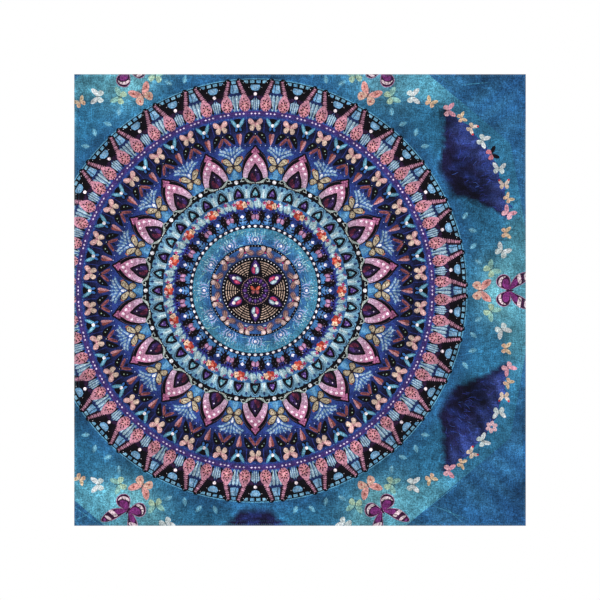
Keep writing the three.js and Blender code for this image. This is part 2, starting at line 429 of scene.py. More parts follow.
def field_ink(x, z):
    """Deep blue beside the mandala, with a pale glow outwards along each lobe's axis."""
    radius, angle = polar(x, z)
    offset = lobe_offset(angle)
    across = np.radians(np.abs(offset)) * radius
    beside = (1 - fade(radius, RIM, RIM + 44)) * fade(across, 20, 110)
    out = toward(np.array(colour("#30708f")), "#2c5f8a", 0.6 * beside)
    outside = fade(radius - garland_radius(offset), -16, 12)
    out = toward(out, "#5aa0af", 0.85 * outside * (1 - 0.9 * fade(across, 85, 205)))
    core = np.exp(-((radius - 486) / 40) ** 2) * np.exp(-(across / 62) ** 2)
    out = toward(out, "#74b6bb", 0.7 * core[:, None])
    inwards = SIDE * 0.36 - np.abs(x + SIDE * 0.04)
    above = fade(z, SIDE * 0.3, SIDE * 0.52) * fade(inwards, 0, SIDE * 0.16)
    return toward(out, "#2c6189", 0.4 * above)


def outer_ink(x, z):
    """Past the lobes' straight outer edges the field is a darker, greyer blue."""
    radius, angle = polar(x, z)
    streak = 0.5 + 0.5 * np.sin(np.radians(angle) * 71 + 2 * np.sin(np.radians(angle) * 19))
    out = toward(np.array(colour("#2b6188")), "#3a7698", 0.6 * streak[:, None])
    return toward(out, "#23507c", 0.7 * fade(radius, 590, 690))


def wing_reach(radius):
    """How far a dark fan reaches to each side of its axis, in degrees, at a distance from the centre."""
    return np.interp(radius, (424, 452, 484, 530), (3.0, 5.6, 9.6, 15.4))


def wing_ink(x, z):
    """A dark fan, veined towards the garland, whose ragged edge fades into the field."""
    radius, angle = polar(x, z)
    turn = angle % LOBE_STEP - LOBE_STEP / 2
    dark = "#1a1a38"
    ripple = 0.5 + 0.5 * np.sin(x * 0.11 + 3 * np.sin(z * 0.08)) * np.sin(z * 0.14 + 1.7)
    vein = 0.5 + 0.5 * np.sin(np.radians(angle) * 96 + 2.5 * np.sin(radius * 0.06))
    inside = np.radians(wing_reach(radius) - np.abs(turn)) * radius
    out = toward(np.array(colour("#253468")), dark, fade(ripple, 0.15, 0.6))
    to_edge = radius - garland_radius(LOBE_STEP / 2 - np.abs(turn))
    out = toward(out, "#4a64a8", 0.5 * fade(to_edge, -62, -4) * (0.35 + 0.65 * vein[:, None]))
    out = toward(out, dark, 0.8 * (1 - fade(inside, 6, 26)))
    ragged = inside + 3.5 * np.sin(x * 0.19 + 2 * np.sin(z * 0.13)) * np.sin(z * 0.23 + 0.6)
    share = fade(ragged, -3, 7) * fade(radius, RIM + 4, RIM + 22)
    field = field_ink(x, z)
    return field + (out - field) * share


def paint_wings(art):
    """The dark fans between the lobes: narrow at the mandala's rim, wide at the garland, and cracked."""
    for k in range(LOBES):
        axis = LOBE_STEP * (k + 0.5)
        edge = []
        for offset in np.linspace(-15, 15, 13):
            scallop = 6.0 * abs(math.sin(math.radians(offset * 36)))
            edge.append((garland_radius(LOBE_STEP / 2 - abs(offset)) - 5 + scallop, offset))
        side = [(r, wing_reach(r) + 1) for r in range(430, 500, 15)]
        path = [(r, -w) for r, w in side] + edge + side[::-1]
        art.add([place(r, math.radians(axis + w)) for r, w in path], wing_ink)
        for _ in range(70):
            radius = 450 + 84 * dice.random() ** 0.6
            turn = dice.uniform(-0.9, 0.9) * float(wing_reach(radius))
            crack = [(0, 0), (dice.uniform(-2, 2), 5), (dice.uniform(-4, 4), dice.uniform(9, 15))]
            ink = dice.choice(("#2f4488", "#2c3a7a", "#3c5796", "#33397a"))
            art.at(axis + turn, radius, moved([(stroke(crack, dice.uniform(0.9, 1.9)), ink)],
                                              -2.5 * turn + dice.uniform(-35, 35)))


def square(inset=0.0):
    half = SIDE / 2 - inset
    return [(-half, -half), (half, -half), (half, half), (-half, half)]


def paint_halo(art):
    """The lobes' nearly straight outer edges, as one polygon, over the darker outer field."""
    art.add(square(), outer_ink)
    art.add([place((561, 587)[k % 2], math.radians(LOBE_STEP * k / 2)) for k in range(2 * LOBES)],
            field_ink)


def paint_rays(art):
    """Long pale strokes, like scratches of light, where two lobes' edges cross."""
    for k in range(LOBES):
        axis = LOBE_STEP * k
        for u, v, lean, length, width in (
                (-38, 557, -16, 92, 2.6), (-34, 557, -13, 88, 1.5), (13, 560, 24, 118, 3.0),
                (17, 557, 27, 112, 1.6), (60, 548, 40, 80, 1.6), (-90, 545, -38, 84, 1.5),
                (28, 560, 95, 120, 1.6), (-60, 550, -98, 120, 1.5), (-8, 566, 2, 90, 1.3),
                (-110, 560, -20, 60, 1.4), (100, 575, 10, 70, 1.4), (150, 560, 55, 60, 1.4),
                (-20, 590, 70, 46, 1.3), (40, 600, -60, 50, 1.3), (-70, 585, 40, 44, 1.2)):
            art.at(axis, v, [(leaf(length, width, lean, u, 0), "#4b93ad")])


def butterfly(upper, lower, body="#3d3038", feelers=True, spots=None):
    """A butterfly one unit from its middle to a wing tip, head outwards."""
    fore = smooth([(0.04, 0.06), (0.24, 0.52), (0.62, 0.90), (1.0, 0.94), (1.0, 0.58), (0.70, 0.12)])
    hind = smooth([(0.04, -0.02), (0.46, 0.08), (0.80, -0.10), (0.80, -0.48), (0.50, -0.76),
                   (0.18, -0.50)])
    parts = both([(fore, upper), (hind, lower)])
    if spots:
        parts += both([(oval(0.66, 0.52, 0.10, 0.17, 6, 40), spots),
                       (oval(0.46, -0.36, 0.10, 0.13, 6), spots)])
    parts.append((oval(0, 0, 0.055, 0.34, 6), body))
    if feelers:
        parts += both([(stroke([(0.02, 0.3), (0.12, 0.5), (0.24, 0.62)], 0.07), body)])
    return parts


def grown(outline, by):
    """The outline with every point moved out from its middle."""
    u0 = sum(u for u, _ in outline) / len(outline)
    v0 = sum(v for _, v in outline) / len(outline)
    out = []
    for u, v in outline:
        reach = math.hypot(u - u0, v - v0)
        out.append((u + (u - u0) / reach * by, v + (v - v0) / reach * by))
    return out


def banner_butterfly():
    """The large plum butterfly at each lobe, with pale bands and dark margins."""
    plum, wine, band, rim = "#7d3a79", "#3d1c3c", "#d5c8cb", "#a98aa4"
    fore = smooth([(1.5, 2), (7, 13), (14, 26), (23, 38), (33, 45), (37.5, 42), (36, 30), (29, 15),
                   (14, 4)], 3)
    hind = smooth([(1.5, 0), (13, 2), (25, 0), (31, -8), (29, -18), (20, -25), (10, -22), (4, -11)], 3)
    parts = both([
        (grown(fore, 1.3), rim), (grown(hind, 1.3), rim), (fore, wine), (hind, wine),
        (smooth([(2, 2), (7, 10), (14, 17), (22, 19), (22, 11), (12, 4)]), plum),
        (smooth([(2, 0), (12, 1), (21, -2), (23, -9), (15, -14), (6, -10)]), plum),
        (smooth([(13, 20), (17, 25), (28, 23), (34, 21), (30, 16), (20, 17)]), band),
        (smooth([(20, 32), (23, 36), (32, 35), (35.5, 33), (30, 30)]), band),
        (smooth([(8, -16), (14, -16), (23, -13), (28, -6), (27, -15), (19, -21), (10, -20.5)]), band),
        (smooth([(28, 40), (31, 42.5), (35, 40), (33, 37)]), plum),
        (leaf(9, 1.6, 60, 15, 19), wine), (leaf(9, 1.6, 60, 20, 23), wine),
        (leaf(6, 1.5, 150, 14, -14), wine), (leaf(6, 1.5, 130, 20, -13), wine),
        (leaf(6, 1.5, 110, 23, -10), wine),
    ])
    return parts + [(oval(0, 1, 1.8, 9, 8), wine)]


def paint_garland(art):
    """Butterflies, flowers and pale leaves, even about every lobe's axis."""
    peach = butterfly("#cf9d94", "#c9ab98", "#6d4a44", spots="#a4655f")
    mint = butterfly("#86b8ac", "#9dbfa4", "#34443a")
    cream = butterfly("#c5d3cf", "#bccfca", "#66787a", feelers=False)
    small = butterfly("#cbbd9c", "#cdb497", "#7a6448", spots="#a58d68")
    pink = butterfly("#cc9ba6", "#cfa8ae", "#855865", feelers=False)
    berry = butterfly("#d0c9bb", "#c3baa5", "#6f4437", feelers=False)
    berries = both([(dot(0.86, 0.86, 0.2), "#bf3a40")])
    rose = butterfly("#141019", "#c18189", "#261a21")
    flower = [(oval(0.55 * math.sin(a), 0.55 * math.cos(a), 0.32, 0.42, 8, math.degrees(a)), "#cdb2b5")
              for a in (i * TAU / 6 for i in range(6))] + [(dot(0, 0, 0.24), "#4c7fa6")]
    stations = [
        (5, mint, 16, 34, -6), (9, cream, 15, 48, 0), (13, small, 11.5, -12, -2), (17, pink, 13.5, 36, 0),
        (20, small, 10, 20, 2), (23, berry + berries, 11, 70, 0), (26.5, cream, 13, 60, 0),
    ]
    for k in range(LOBES):
        axis = LOBE_STEP * k
        art.at(axis, 506, banner_butterfly())
        art.at(axis, 449, moved(peach, 0, 22))
        for offset, kind, size, lean, shift in stations:
            radius = garland_radius(offset) + shift
            art.at(axis - offset, radius, moved(kind, lean, size))
            art.at(axis + offset, radius, moved(kind, -lean, size))
        middle = axis - LOBE_STEP / 2
        art.at(middle, garland_radius(LOBE_STEP / 2), moved(rose if k % 2 else flower, 8, 13))
        for offset, radius, lean in ((8, 446, 40), (11, 440, -28), (16, 446, 30), (19, 441, -34)):
            for side in (-1, 1):
                frond = [(leaf(18, 9.5, side * lean), "#62a0b4"), (leaf(13, 2.0, side * lean), "#84b9c6")]
                art.at(axis + side * offset, radius - 4, frond)


# ---- the rings, from the rim inwards ----
def paint_rim(art):
    """The outermost ring: spotted lobes in pairs on banded arms, between pale blue windows."""
    count, first = 30, 90
    step = 360 / count
    art.disc(RIM - 1, "#5c9db8", 232)
    art.disc(RIM - 3, BLACK, 232)
    cells = count * 7
    for i in range(cells):
        start = first + 360 * i / cells
        ink = ("#6ea7be", "#7fb3c6", "#5f97b4")[i % 3]
        art.arc_bar(416.5, 5.4, start + 0.28, start + 360 / cells - 0.3, ink, 2)
    art.disc(412.5, BLACK, 232)
    art.disc(396, wash(357, "#31538f", 396, "#233460"), 232)
    sill = []
    for u, tall, ink in ((-18.2, 25, "#82a7b6"), (-11, 30, "#92b3be"), (-3.8, 33, "#87acba"),
                         (3.6, 33, "#97b8c0"), (10.8, 30, "#83a8b7"), (18, 25, "#8fb0bc")):
        pane = whole([(0, 0), (2.7, -3), (3.1, -15), (2.4, -tall + 3), (0, -tall)])
        sill.append((turned(pane, 0, u, -1), ink))
        sill.append((stroke([(u - 0.8, -4), (u - 0.3, -15), (u - 0.9, 3 - tall)], 1.5), "#b7d1d6"))
        sill.append((stroke([(u + 1.4, -7), (u + 1.1, -14), (u + 1.3, -20)], 0.9), "#5d86a4"))
    window = [([(-10.5, 19.2), (-3.4, 19.6), (-2.6, 11), (-4, 2.6), (-7.6, 4)], "#6b9dbd"),
              ([(-2, 19.6), (9.6, 19.2), (11, 12), (7.6, 4), (-2.6, 2.4), (-1.4, 11)], "#76a7c3"),
              ([(0.5, 18), (6.5, 17.6), (7, 12), (1, 9)], "#8bb5ca"),
              ([(12.6, 19), (16, 18.6), (15.6, 12), (12.8, 9)], "#6898b8"),
              ([(-12.4, 19), (-16, 18.6), (-15.6, 12), (-12.6, 9)], "#6898b8"),
              (dot(-10.6, 7.4, 1.0, 5), "#b9c9d6"), (dot(2.2, 10.6, 0.9, 5), "#c2d0da")]
    art.ring(count, 392, sill + window, first - step / 2)
    inside = [(whole([(0, 18.6), (8.4, 18.2), (10.4, 13.6), (6.4, 7.6), (0, 6)]), "#6fa2c0"),
              (whole([(0, 16.8), (4.2, 16.4), (5.4, 12.8), (0, 9.5)]), "#87b2c8")]
    for u, tall in ((-6.3, 26), (-2.1, 30), (2.1, 30), (6.3, 26)):
        pane = whole([(0, -8), (1.7, -12), (1.5, -tall), (0, -tall - 3)])
        inside.append((turned(pane, 0, u), "#8bafbc"))
        inside.append((stroke([(u, -12), (u + 0.3, -19), (u, -tall)], 0.9), "#b9d3d8"))
    art.ring(count, 392, inside, first)
    arm = [
        (smooth([(1.5, -2), (7, 7), (16, 18), (26, 28), (33, 31.5), (38, 27), (35, 16), (29.5, 4),
                 (22, -8), (13, -14), (5, -11)], 3), BLACK),
        (smooth([(3, -4), (9, -3), (16, -5), (13, -12), (6, -10)]), "#321f3e"),
        (smooth([(18, 2), (24, 12), (29, 20), (26, 10), (21, 1)]), "#2a1a2c"),
    ]
    for i in range(9):
        t = i / 8
        u, v = 21.5 + 12.2 * t, -4.5 + 28 * t
        wide = 5.5 - 1.8 * t
        ink = ("#b48b9c", "#98707f", "#a97f91")[i % 3]
        arm.append((leaf(wide * 2, 3.7, 104 + 5 * (i % 2), u - wide * 0.95, v + 1.8), ink))
    arm += [
        (dot(13, 13, 0.8, 5), "#cfd3da"), (dot(24, 22.5, 0.8, 5), "#cfd3da"),
        (dot(31, 28, 0.8, 5), "#bfc6d2"),
        (smooth([(9, -6), (14, -3), (20, 6), (27, 17), (22, 15), (15, 6)]), "#140f1a"),
        (smooth([(27, -3), (31, 4), (36.5, 17), (39, 26), (33, 15), (29, 6)]), "#1b1424"),
        (smooth([(27.5, 0), (30, 6), (33, 15), (36, 25), (38.6, 26), (36.4, 14), (31.6, 2)]), "#2a1a2a"),
    ]
    lobe = [(leaf(25, 6.5, 14, 6.5, -35), "#17121f"), (leaf(22, 5.0, -16, 34.5, -33), "#17121f"),
            (smooth([(12, -9), (18, -3), (24, 2), (29, -6), (32.4, -16), (31.4, -27), (26.5, -34),
                     (19.5, -37), (12.6, -33), (9, -25), (9, -16)]), "#bf8e9b"),
            (smooth([(12.5, -20), (19.5, -13), (28, -18), (28.5, -26), (24, -31.5), (19.5, -33.5),
                     (14, -30)]), "#c98d94"),
            (oval(20.4, -21.5, 3.0, 4.2, 8), "#d5a6a6")]
    for i in range(2, 15):
        turn = GOLDEN_TURN * i + 0.5
        reach = 3.3 * math.sqrt(i)
        u, v = 20.4 + 0.74 * reach * math.sin(turn), -22.4 + 1.1 * reach * math.cos(turn)
        lobe.append((oval(u, v, 1.35, 2.2 + 0.4 * (i % 3), 6, math.degrees(turn)), "#1a1118"))
    arm += moved(lobe, 0, 0.94, 1.6, -1.0)
    art.ring(count, 392, both(arm), first)
    art.ring(count, 392, [(dot(0, 0, 4.4, 8), "#3a2734"), (dot(0, 0, 3.4, 8), "#f3efee"),
                          (stroke([(0, -4), (0.2, -9), (0, -13)], 1.4), "#3b2433")], first)


def paint_violet_band(art):
    art.disc(358, wash(346, "#40407c", 358, "#4b3571"))
    bead = whole([(0, 1.9), (2.4, 0), (0, -1.9)])
    trio = [(bead, "#dcd6ea")] + both([(turned(bead, 0, 7.6), "#dcd6ea")])
    art.ring(72, 353, trio)
    art.disc(347, "#2f4a88")
    art.ring(120, 344.5, [(dot(0, 0, 0.8, 5), "#7d96c4")])


def paint_moths(art):
    """Four-lobed cream moths turn about with teal swallows, over coral wings and dark leaves."""
    count, first = 30, 90
    half = 180 / count
    art.disc(342.5, "#26396f")
    art.disc(340.5, wash(296, "#28386e", 332, "#17172f"))
    net = [(stroke(line, width), "#303f7e") for line, width in (
        ([(0, 9), (0.6, -6), (0, -22)], 1.6), ([(0, 9), (-4, 4), (-9, 6)], 1.2),
        ([(0, 9), (4, 4), (9, 6)], 1.2))]
    art.ring(count * 2, 331, net, first + half / 2)
    moth = both([
        (smooth([(1, 0.5), (4.5, 8.5), (10.5, 12.5), (14.4, 8.5), (12.8, 2.5), (7, -0.5)], 3), "#c8a49f"),
        (smooth([(1, -0.5), (7.5, -1), (11.2, -5), (9.6, -11), (4.6, -12), (1.6, -6)], 3), "#c5b4a1"),
        (smooth([(4.5, 4), (8.5, 10), (12.4, 8), (10, 4)]), "#d6b9b0"),
        (oval(6.4, -6.4, 2.4, 3.0, 7, -30), "#d2c1ad"),
    ])
    moth += [(oval(0, 0, 1.0, 6.0, 6), "#a87783")]
    art.ring(count, 331, moth, first)
    swallow = [(whole([(0, 14.5), (7, 13), (5, 3), (0, -4)]), BLACK)]
    swallow += [(whole([(0, -2), (7, -3), (9, -11), (4, -14), (0, -13)]), BLACK)]
    swallow += both([
        (smooth([(1, -1), (4, 6), (9, 12), (13.5, 14.5), (13, 8), (9, 1), (4, -4)]), "#5a9ab0"),
        (smooth([(4, 3), (8, 8), (11.5, 11), (10, 6), (6, 0.5)]), "#83b8c6"),
        (oval(3.8, -7, 2.5, 4.6, 7, -16), "#3d6fa6"),
    ])
    swallow += [(dot(0, 0, 3.5, 8), "#e9f0ee"), (dot(-0.7, 0.8, 1.5, 6), "#ffffff")]
    art.ring(count, 330, swallow, first + half)
    roof = both([
        (smooth([(4, 10), (9, 13.5), (16, 12), (21, 4), (22.5, -10), (17, -8), (11, -1), (6, 5)]), BLACK),
        (oval(13.5, 7, 1.5, 1.3, 5), "#a5bf9d"), (oval(17.5, 1.5, 1.1, 1.0, 5), "#7fa0a8"),
        (smooth([(0.5, 7), (4, 5), (9, -1), (13.5, -10), (9, -10), (4, -4), (0.5, 2)]), "#8c5855"),
        (smooth([(3, 2), (7, -3), (10.5, -8.5), (8, -8.5), (4, -3)]), "#683c46"),
    ])
    roof += [(whole([(0, 13), (3.4, 9), (0, 4)]), BLACK), (dot(0, 9.4, 1.1, 5), "#b7c6cf"),
             (whole([(0, -2), (3.5, -7), (0, -11)]), "#171a33")]
    art.ring(count, 303, roof, first)
    bud = [(smooth([(-5.5, 7), (-2, 10.5), (0.6, 7), (0.8, -6), (0, -12.5), (-3, -5)]), "#87504a"),
           (smooth([(5.6, 8), (2.6, 11), (0.2, 7), (-0.6, -6), (0, -12.5), (3.6, -4)]), "#b58a8d")]
    art.ring(count, 303, bud, first + half)
    art.ring(180, 289.5, [(dot(0, 0, 0.95, 5), "#b9cfe6")])


def paint_petals(art):
    """The crown of pearl-set petals, each over a dark cut stone, with butterflies between."""
    count, first = 18, 90
    between = first + 180 / count
    art.disc(287, wash(226, "#3f6da2", 287, "#304484"))
    art.ring(72, 280, [(leaf(9, 4.5, 30, 0, -6), "#31508f"), (dot(3, 1, 0.9, 5), "#7fa5cc")])
    diamond = [(whole([(0, 20), (7, 6), (11.5, -8), (0, -9)]), "#4585b3"),
               (whole([(0, 13), (4, 4), (6, -6), (0, -7)]), "#6ba4c4")]
    art.ring(count, 232, diamond, between)
    spray = [(smooth([(0, 6), (16, 20), (24, 33), (0, 36), (-24, 33), (-16, 20)]), "#3d5f9a")]
    shades = ("#7aa3b8", "#638eb1", "#98b6c4")
    for i, (u, v, tilt, length) in enumerate((
            (0, 20, 0, 11), (0, 30, 0, 7), (4, 14.5, 38, 9), (4.4, 22.5, 20, 9), (8.5, 19, 52, 9),
            (10, 26, 34, 9), (14, 23.5, 62, 8.5), (6.5, 31, 24, 7), (16, 30, 50, 7.5),
            (19.5, 26.5, 80, 7))):
        for way in ((1, -1) if u else (1,)):
            spray.append((leaf(length, 5.0, way * tilt, way * u, v), shades[i % 3]))
            spray.append((leaf(length * 0.7, 1.3, way * tilt, way * u, v + 0.6), "#adc6d0"))
    spray += [(oval(0, 12, 3.0, 4.2, 8), "#d5e4e7"), (oval(-0.5, 13, 1.2, 1.7, 6), "#ffffff")]
    art.ring(count, 252, spray, between)
    upper = smooth([(0.6, 3), (4, 11), (10, 18.5), (17.6, 19), (21, 12), (17, 5.5), (9, 1), (3, 0)])
    lower = smooth([(0.6, 0), (8, 2), (14.5, 0), (16.4, -7), (11.5, -13.6), (5.4, -11.5), (1.6, -5)])
    pale = smooth([(2, 3.5), (5.4, 10.4), (10.6, 16.8), (16.4, 17), (19.2, 12), (15, 7), (8.4, 2.6)])
    wing = both([
        (upper, "#2c2426"), (lower, "#2c2426"), (pale, "#b1ab90"),
        (smooth([(2, -1), (8, 0.8), (13, -1), (14.4, -6.6), (11, -12), (6, -10), (3, -5)]), "#a39d82"),
        (smooth([(6, 6), (10, 12.5), (14.5, 13), (12, 8)]), "#cbc5aa"),
        (smooth([(5, -3), (9.5, -1.6), (11.5, -5.5), (8.4, -8)]), "#c6bfa4"),
        (oval(14.8, 14.2, 1.7, 1.2, 6, 40), "#7b5b45"), (oval(8.4, 8.8, 1.0, 2.6, 6, 40), "#6d5a42"),
        (oval(11.6, 9.6, 0.9, 2.8, 6, 60), "#6d5a42"), (oval(8.8, -4.6, 1.2, 1.8, 6), "#7b5b45"),
        (oval(12, -8, 1.5, 1.1, 6), "#8a7052"), (oval(5.6, -7.6, 0.9, 1.6, 6), "#6d5a42"),
        (smooth([(17.5, 17.5), (20.5, 18.5), (22, 13), (20, 12)]), "#a8705c"),
    ])
    wing += [(oval(0, 0, 1.3, 8, 6), "#3a2c28"), (dot(0, 9, 1.6, 6), "#cbd9d8")]
    art.ring(count, 250, wing, between)
    art.disc(224, BLACK)
    art.ring(count, 218.5, [(dot(0, 0, 5.2, 8), "#2b2a36"), (dot(0, 0, 4.0, 8), "#e6eeec")], between)
    art.ring(count, 218.5, both([(dot(9.5, 0.5, 1.3, 5), "#9fb5b8")]), between)
    petal = [
        (smooth(whole([(0, 67), (6.5, 60), (15, 51), (22, 41), (25.6, 28), (26.6, 14), (25.8, 1),
                       (19, -6), (0, -7)]), 2), BLACK),
        (smooth(whole([(0, 53), (5.5, 47.5), (13.5, 38.5), (19.8, 27), (23.6, 14), (24.4, 3),
                       (17, 0.5), (0, 0)]), 2), wash(226, "#bba6b8", 268, "#b87f9c")),
        (smooth(whole([(0, 30), (6, 22), (12.5, 12), (15.6, 1), (12, -8), (0, -11)]), 2), BLACK),
        (smooth(whole([(0, 24.5), (4.6, 18), (9.5, 10), (11.6, 1), (8, -6), (0, -8)]), 2), "#271b35"),
        *halves([(0, 22), (4.5, 15), (1.5, 5), (0, 9)], "#3a2a58", "#1d1428"),
        *halves([(1.5, 5), (9.5, 8), (8.5, -2), (3, -5)], "#46336a", "#4f2238"),
        ([(0, 3), (3, -4.6), (0, -7.5), (-3, -4.6)], "#6d3549"),
        *halves([(3.5, 9), (7.5, 10), (6, 4.5)], "#66568f", "#6f3444"),
        (dot(0.4, 15.8, 1.5, 6), "#cfc8da"),
        (oval(0, 43.5, 3.3, 3.1, 8), "#f2eaee"),
    ]
    petal += both([
        (oval(7.4, 36.6, 3.1, 2.7, 8, 40), "#f0e6eb"), (oval(14.2, 28, 3.0, 2.6, 8, 55), "#eee3ea"),
        (oval(18.8, 17.5, 1.9, 2.3, 7), "#ddc9d8"), (oval(20.4, 8.5, 1.4, 1.9, 6), "#d6c3d4"),
        (oval(4.2, 34, 1.0, 1.2, 5), "#e3b9cb"), (oval(10.6, 25, 0.9, 1.2, 5), "#dfb7ca"),
        (oval(15.8, 12, 0.9, 1.3, 5), "#b797b4"),
        ([(0, 63.5), (3.2, 58.5), (7.4, 54.5), (8.6, 50.5), (4.5, 50), (0, 52.5)], "#96597c"),
        (dot(2.6, 56.5, 1.3, 5), "#c893ad"), (dot(5.6, 52.6, 1.1, 5), "#c48da8"),
        (dot(0.6, 60, 1.0, 5), "#b97f9c"),
        (stroke([(25.8, 18), (24.0, 31), (19, 42), (11, 52)], 0.9), "#4d3a50"),
        (stroke([(22.5, 37), (17.5, 44.5), (11, 51)], 1.2), "#57465c"),
    ])
    art.ring(count, 224, petal, first)
    curl = both([
        (stroke([(3, -9), (9, -8.6), (15, -5.4), (20, -1.2), (24.6, 2)], 3.4), "#9bb0a8"),
        (stroke([(6, -10), (13, -8.6), (19, -5)], 1.5), "#c3cfc2"),
        (bow(24.6, -3.6, 3.2, -160, 120, 1.8), "#b3c4bb"),
        (bow(14.2, -9.6, 2.0, -30, 210, 1.2), "#8ea49e"),
        (dot(2.2, -9.5, 1.2, 5), "#c9d8d4"),
    ])
    art.ring(count, 224, curl, first)


def paint_arcade(art):
    """Teal and violet drops, turn about, under pale pointed arches."""
    count, first = 36, 90
    step = 360 / count
    art.disc(212, wash(186, "#92b9c0", 212, "#669ab3"))
    arch = [(leaf(30, 12, 0, 0, -15), "#96bfc8"), (leaf(26, 6.5, 0, 0, -14), "#aecfd2"),
            (leaf(18, 2.0, 4, -1.4, -11), "#cfe2e0"),
            (stroke([(2.6, -12), (3, -3), (1.5, 6)], 1.0), "#6d9fb2"),
            (leaf(9, 5, 0, 0, 9), "#31507c")]
    art.ring(count, 193, arch, first + step / 2)
    art.ring(count * 2, 210.5, [(whole([(0, -2.6), (3.4, 1.6), (0, 1.8)]), "#1d2440")], first + step / 4)
    for i in range(count):
        shade, light = (("#5593a2", "#8fbcc4"), ("#533c7c", "#8068a8"))[i % 2]
        drop = [
            (smooth(whole([(0, 17.6), (6.0, 11), (9.8, 2), (9.2, -7), (7.4, -10), (0, -12)]), 2), "#2e4566"),
            (smooth(whole([(0, 15.8), (5.0, 9.8), (8.4, 1.6), (8.0, -7), (0, -10)]), 2), "#7cabbb"),
            (smooth(whole([(0, 14.0), (5.4, 8.2), (8.4, 1), (8.8, -7), (6.8, -14), (0, -17)]), 2), BLACK),
            (whole([(0, 9), (3.0, 5), (4.6, 1.0), (3.0, -2.4), (0, -1)]), shade),
            (whole([(0, 8), (2.0, 4.8), (0, 2.6)]), light),
            ([(-4.6, 0.6), (-2.4, 3.0), (-1.6, 0.2), (-3.0, -1.8)], light),
            (stroke([(-5.6, -7), (0, -4.4), (5.6, -7)], 0.9), "#4a4660"),
            (dot(1.6, 3.6, 0.7, 5), "#e8f2f2"), (dot(-5.4, -2.6, 0.6, 5), "#9db2c0"),
        ]
        art.at(first - step * i, 191.5, moved(drop, 0, 1.12))


def paint_flowers(art):
    """Coral roses and cream blooms between mint leaves."""
    count, first = 18, 100
    art.disc(184.5, wash(161, "#33488c", 184, "#3f6f9c"))
    leaves = []
    for u, tilt in ((-28, 10), (-20, -22), (-14, 14), (23, -14), (30, 18)):
        leaves.append((leaf(20, 11.5, tilt, u, -10), "#93b9be"))
        leaves.append((leaf(15, 5.5, tilt, u, -8), "#b9d2d0"))
        leaves.append((stroke([(u, -7), (u + 2 * math.sin(math.radians(tilt)), 2)], 1.2), "#6f9fae"))
    star = []
    for i in range(10):
        reach = 2.4 if i % 2 else 6.0
        star.append((reach * math.sin(TAU * i / 10), reach * math.cos(TAU * i / 10)))
    bits = [(turned(star, 0, u, v), ink)
            for u, v, ink in ((16, 1, "#a43d72"), (-12, 2, "#a43d72"), (33, 3, "#93407e"))]
    rose = [(oval(6.4 * math.sin(a), 6.4 * math.cos(a) - 1, 5.2, 5.2, 8), "#b04a3d")
            for a in (i * TAU / 5 + 0.3 for i in range(5))]
    rose += [(bow(0, -1, 6.2, 20, 200, 2.0), "#8f2f30"), (bow(0.6, -1.4, 3.6, 160, 380, 1.9), "#dc7a60"),
             (oval(0.4, -1.6, 2.6, 2.4, 7), "#e08f73"), (oval(4.6, -5, 2.6, 2.2, 7), "#d46a55")]
    rose += [(oval(-4.6 + 2.6 * math.sin(a), 6 + 2.6 * math.cos(a), 1.9, 1.9, 6), "#e6c4c0")
             for a in (i * TAU / 5 for i in range(5))]
    rose += [(dot(-4.6, 6, 1.3, 5), "#c8707c")]
    bloom = [(oval(9.8 + 3.6 * math.sin(a), 4.6 * math.cos(a) - 1.5, 2.9, 3.6, 7, math.degrees(a)), "#dfc7a8")
             for a in (i * TAU / 5 for i in range(5))]
    bloom += [(dot(9.8, -1.5, 1.9, 6), "#b9805f"),
              (turned(whole([(0, 4), (1.6, 0), (0, -7)]), 0, 14.2, 3), BLACK)]
    fringe = []
    for i in range(11):
        fringe.append((leaf(11, 4.4, 180 + (i * 37) % 50 - 25, -32 + 6.4 * i, -6 - (i * 5) % 3),
                       ("#31458a", "#5c8db4", "#223061", "#83b0bb")[i % 4]))
    art.ring(count, 173, fringe + leaves + bits, first)
    art.ring(count, 173, moved(rose + bloom, 0, 0.88), first)


